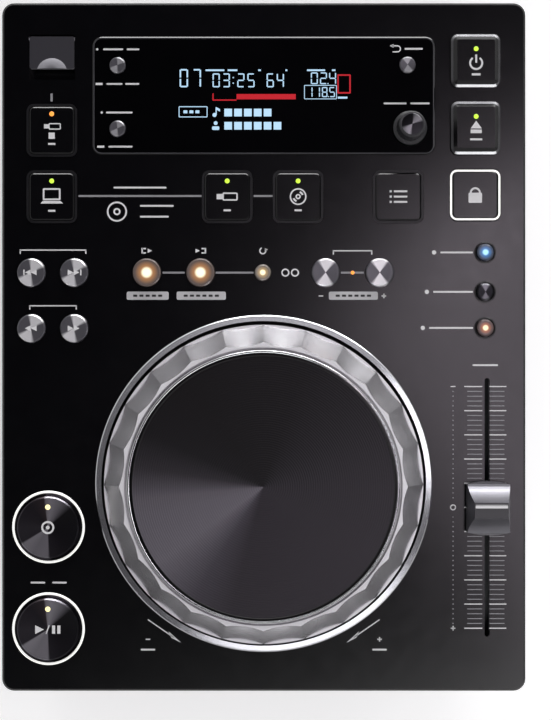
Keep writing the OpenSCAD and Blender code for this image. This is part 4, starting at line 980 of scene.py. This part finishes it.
def painted_fan_turned_aluminium():
    """Black anodised aluminium, turned: its colour runs round the disc's middle, in painted
    highlight fans.
    """
    material, tree, shader = surface("turned_black_aluminium_painted_fan", "#221f24", 0.42, Metallic=0.5,
                                     Anisotropic=0.5)
    angle, _ = around(tree, *JOG)
    feed(tree, shader, "Base Color", round_ramp(tree, angle, DISC_PAINTED_FAN))
    return material


def grooved_face():
    """The pressed disc's face: concentric grooves, drawn 0.93 mm apart so that they show."""
    pitch = 0.93
    side = pitch * 0.2
    depth = 0.05
    reach = DISC_R - 0.7  # the disc's edge is bare
    top = DISC_Z - 0.25
    profile = [(0, top - 0.03)]
    for i in range(int(reach / pitch)):
        r = pitch * (i + 0.5)
        profile += [(r - side, top), (r, top - depth), (r + side, top)]
    return profile + [(reach, top), (reach, top - 0.15), (0, top - 0.15)]


turned_piece("jog_grooved_face", "jog_top", "jog_top_black", painted_fan_turned_aluminium(), *JOG,
             grooved_face(), 128)
# a bright turned edge round the disc
turned_piece("jog_disc_edge", "jog_top", "jog_top_black", chrome, *JOG, [
    (DISC_R - 1.2, DISC_Z - 1), (DISC_R, DISC_Z - 1), (DISC_R, DISC_Z - 0.45),
    (DISC_R - 0.3, DISC_Z - 0.08), (DISC_R - 0.7, DISC_Z + 0.01), (DISC_R - 1.1, DISC_Z + 0.01),
], 128)

# ---- Camera, floor and light ----

CAMERA_X = 5.1
CAMERA_F = 137.84  # behind the deck's front edge
CAMERA_UP = 598.5  # over the deck
LENS = 71.9
SENSOR = 36
FLOOR_HALF = 3.0  # in metres
FLOOR_GLOW = 0.41  # what the floor adds of its own, to show white
scene = bpy.context.scene


def add_camera():
    """A camera that looks straight down on the deck."""
    data = bpy.data.cameras.new("camera")
    data.lens = LENS
    data.sensor_width = SENSOR
    camera = bpy.data.objects.new("camera", data)
    camera.location = (CAMERA_X * MM, at_f(CAMERA_F) * MM, (DECK_Z + CAMERA_UP) * MM)
    scene.collection.objects.link(camera)
    scene.camera = camera


def add_floor():
    """A pale floor that shows white to the camera and keeps the part's shadow."""
    mesh = bmesh.new()
    bmesh.ops.create_grid(mesh, x_segments=1, y_segments=1, size=FLOOR_HALF)
    data = bpy.data.meshes.new("floor")
    mesh.to_mesh(data)
    mesh.free()
    floor = bpy.data.objects.new("floor", data)
    scene.collection.objects.link(floor)
    material, tree, shader = surface("pale_floor", "#f0f0f0", 0.9)
    shader.inputs["Emission Color"].default_value = (1, 1, 1, 1)
    paths = add(tree, "LightPath").outputs
    seen = paths["Is Camera Ray"]
    for other in ("Is Glossy Ray", "Is Transmission Ray"):
        seen = add(tree, "Math", {0: seen, 1: paths[other]}, operation="MAXIMUM").outputs[0]
    glow = add(tree, "Math", {0: seen, 1: FLOOR_GLOW}, operation="MULTIPLY")
    feed(tree, shader, "Emission Strength", glow.outputs[0])
    data.materials.append(material)


def add_light(name, place, aim, width, height, watts, colour="#ffffff", spin=0.0):
    """A soft box, its place and size in metres, turned to its aim and spun in its own plane."""
    data = bpy.data.lights.new(name, "AREA")
    data.shape = "RECTANGLE"
    data.size = width
    data.size_y = height
    data.energy = watts
    data.color = linear(colour)[:3]
    light = bpy.data.objects.new(name, data)
    light.location = place
    facing = (Vector(aim) - Vector(place)).to_track_quat("-Z", "Y")
    light.rotation_euler = (facing @ Quaternion((0, 0, 1), math.radians(spin))).to_euler()
    scene.collection.objects.link(light)


# How bright the studio is all round, from the left by the front, the right and the back
WALLS = grey([
    (0.0, 0.6), (0.14, 0.5), (0.25, 0.5), (0.38, 0.6), (0.46, 0.3), (0.5, 0.12), (0.58, 0.2),
    (0.62, 1.0), (0.66, 1.7), (0.78, 1.7), (0.84, 1.0), (0.9, 0.7), (1.0, 0.6),
])
# How the walls darken upwards, by the sine of the height
RISE = [(0.25, (1.0, 0.99, 1.0, 1)), (0.74, (0.008, 0.007, 0.01, 1))]
# A long low window behind: its light by the sine of the height, and where it is all round
WINDOW_RISE = grey([(0.04, 0.0), (0.07, 13.0), (0.21, 13.0), (0.26, 0.0)])
WINDOW_TURN = grey([(0.63, 0.0), (0.66, 1.0), (0.78, 1.0), (0.81, 0.0)])


def mixed(tree, a, b, how):
    """Two colours, multiplied or added."""
    return add(tree, "Mix", {0: 1.0, 6: a, 7: b}, data_type="RGBA", blend_type=how).outputs[2]


def set_world():
    """A studio that is dark overhead and pale low down, palest behind."""
    world = bpy.data.worlds.new("studio")
    scene.world = world
    world.use_nodes = True
    tree = world.node_tree
    way = add(tree, "SeparateXYZ", {0: add(tree, "TexCoord").outputs["Generated"]}).outputs
    angle = add(tree, "Math", {0: way[1], 1: way[0]}, operation="ARCTAN2").outputs[0]
    room = mixed(tree, ramp(tree, way[2], RISE), round_ramp(tree, angle, WALLS), "MULTIPLY")
    window = mixed(tree, ramp(tree, way[2], WINDOW_RISE), round_ramp(tree, angle, WINDOW_TURN),
                   "MULTIPLY")
    background = tree.nodes["Background"]
    background.inputs["Strength"].default_value = 1.0
    feed(tree, background, "Color", mixed(tree, room, window, "ADD"))


add_camera()
add_floor()
set_world()
add_light("overhead_right", (0.392, -0.134, 1.5), (0.2, -0.05, 0.09), 0.32, 0.67, 1.75,
          "#fff2ff", -31)
add_light("overhead_front", (0.24, -0.72, 1.5), (0.1, -0.3, 0.09), 1.05, 0.4, 3.2)
add_light("overhead_back", (0.38, 0.22, 1.5), (0.1, 0.05, 0.09), 0.1, 0.36, 0.45, "#fff2ff")
add_light("strip_front", (0.3, -1.15, 1.2), (0, 0, 0.09), 1.5, 0.35, 5.5)
add_light("strip_right", (1.15, 0.22, 1.2), (0, 0, 0.09), 0.9, 0.35, 5)
scene.view_settings.view_transform = "Standard"
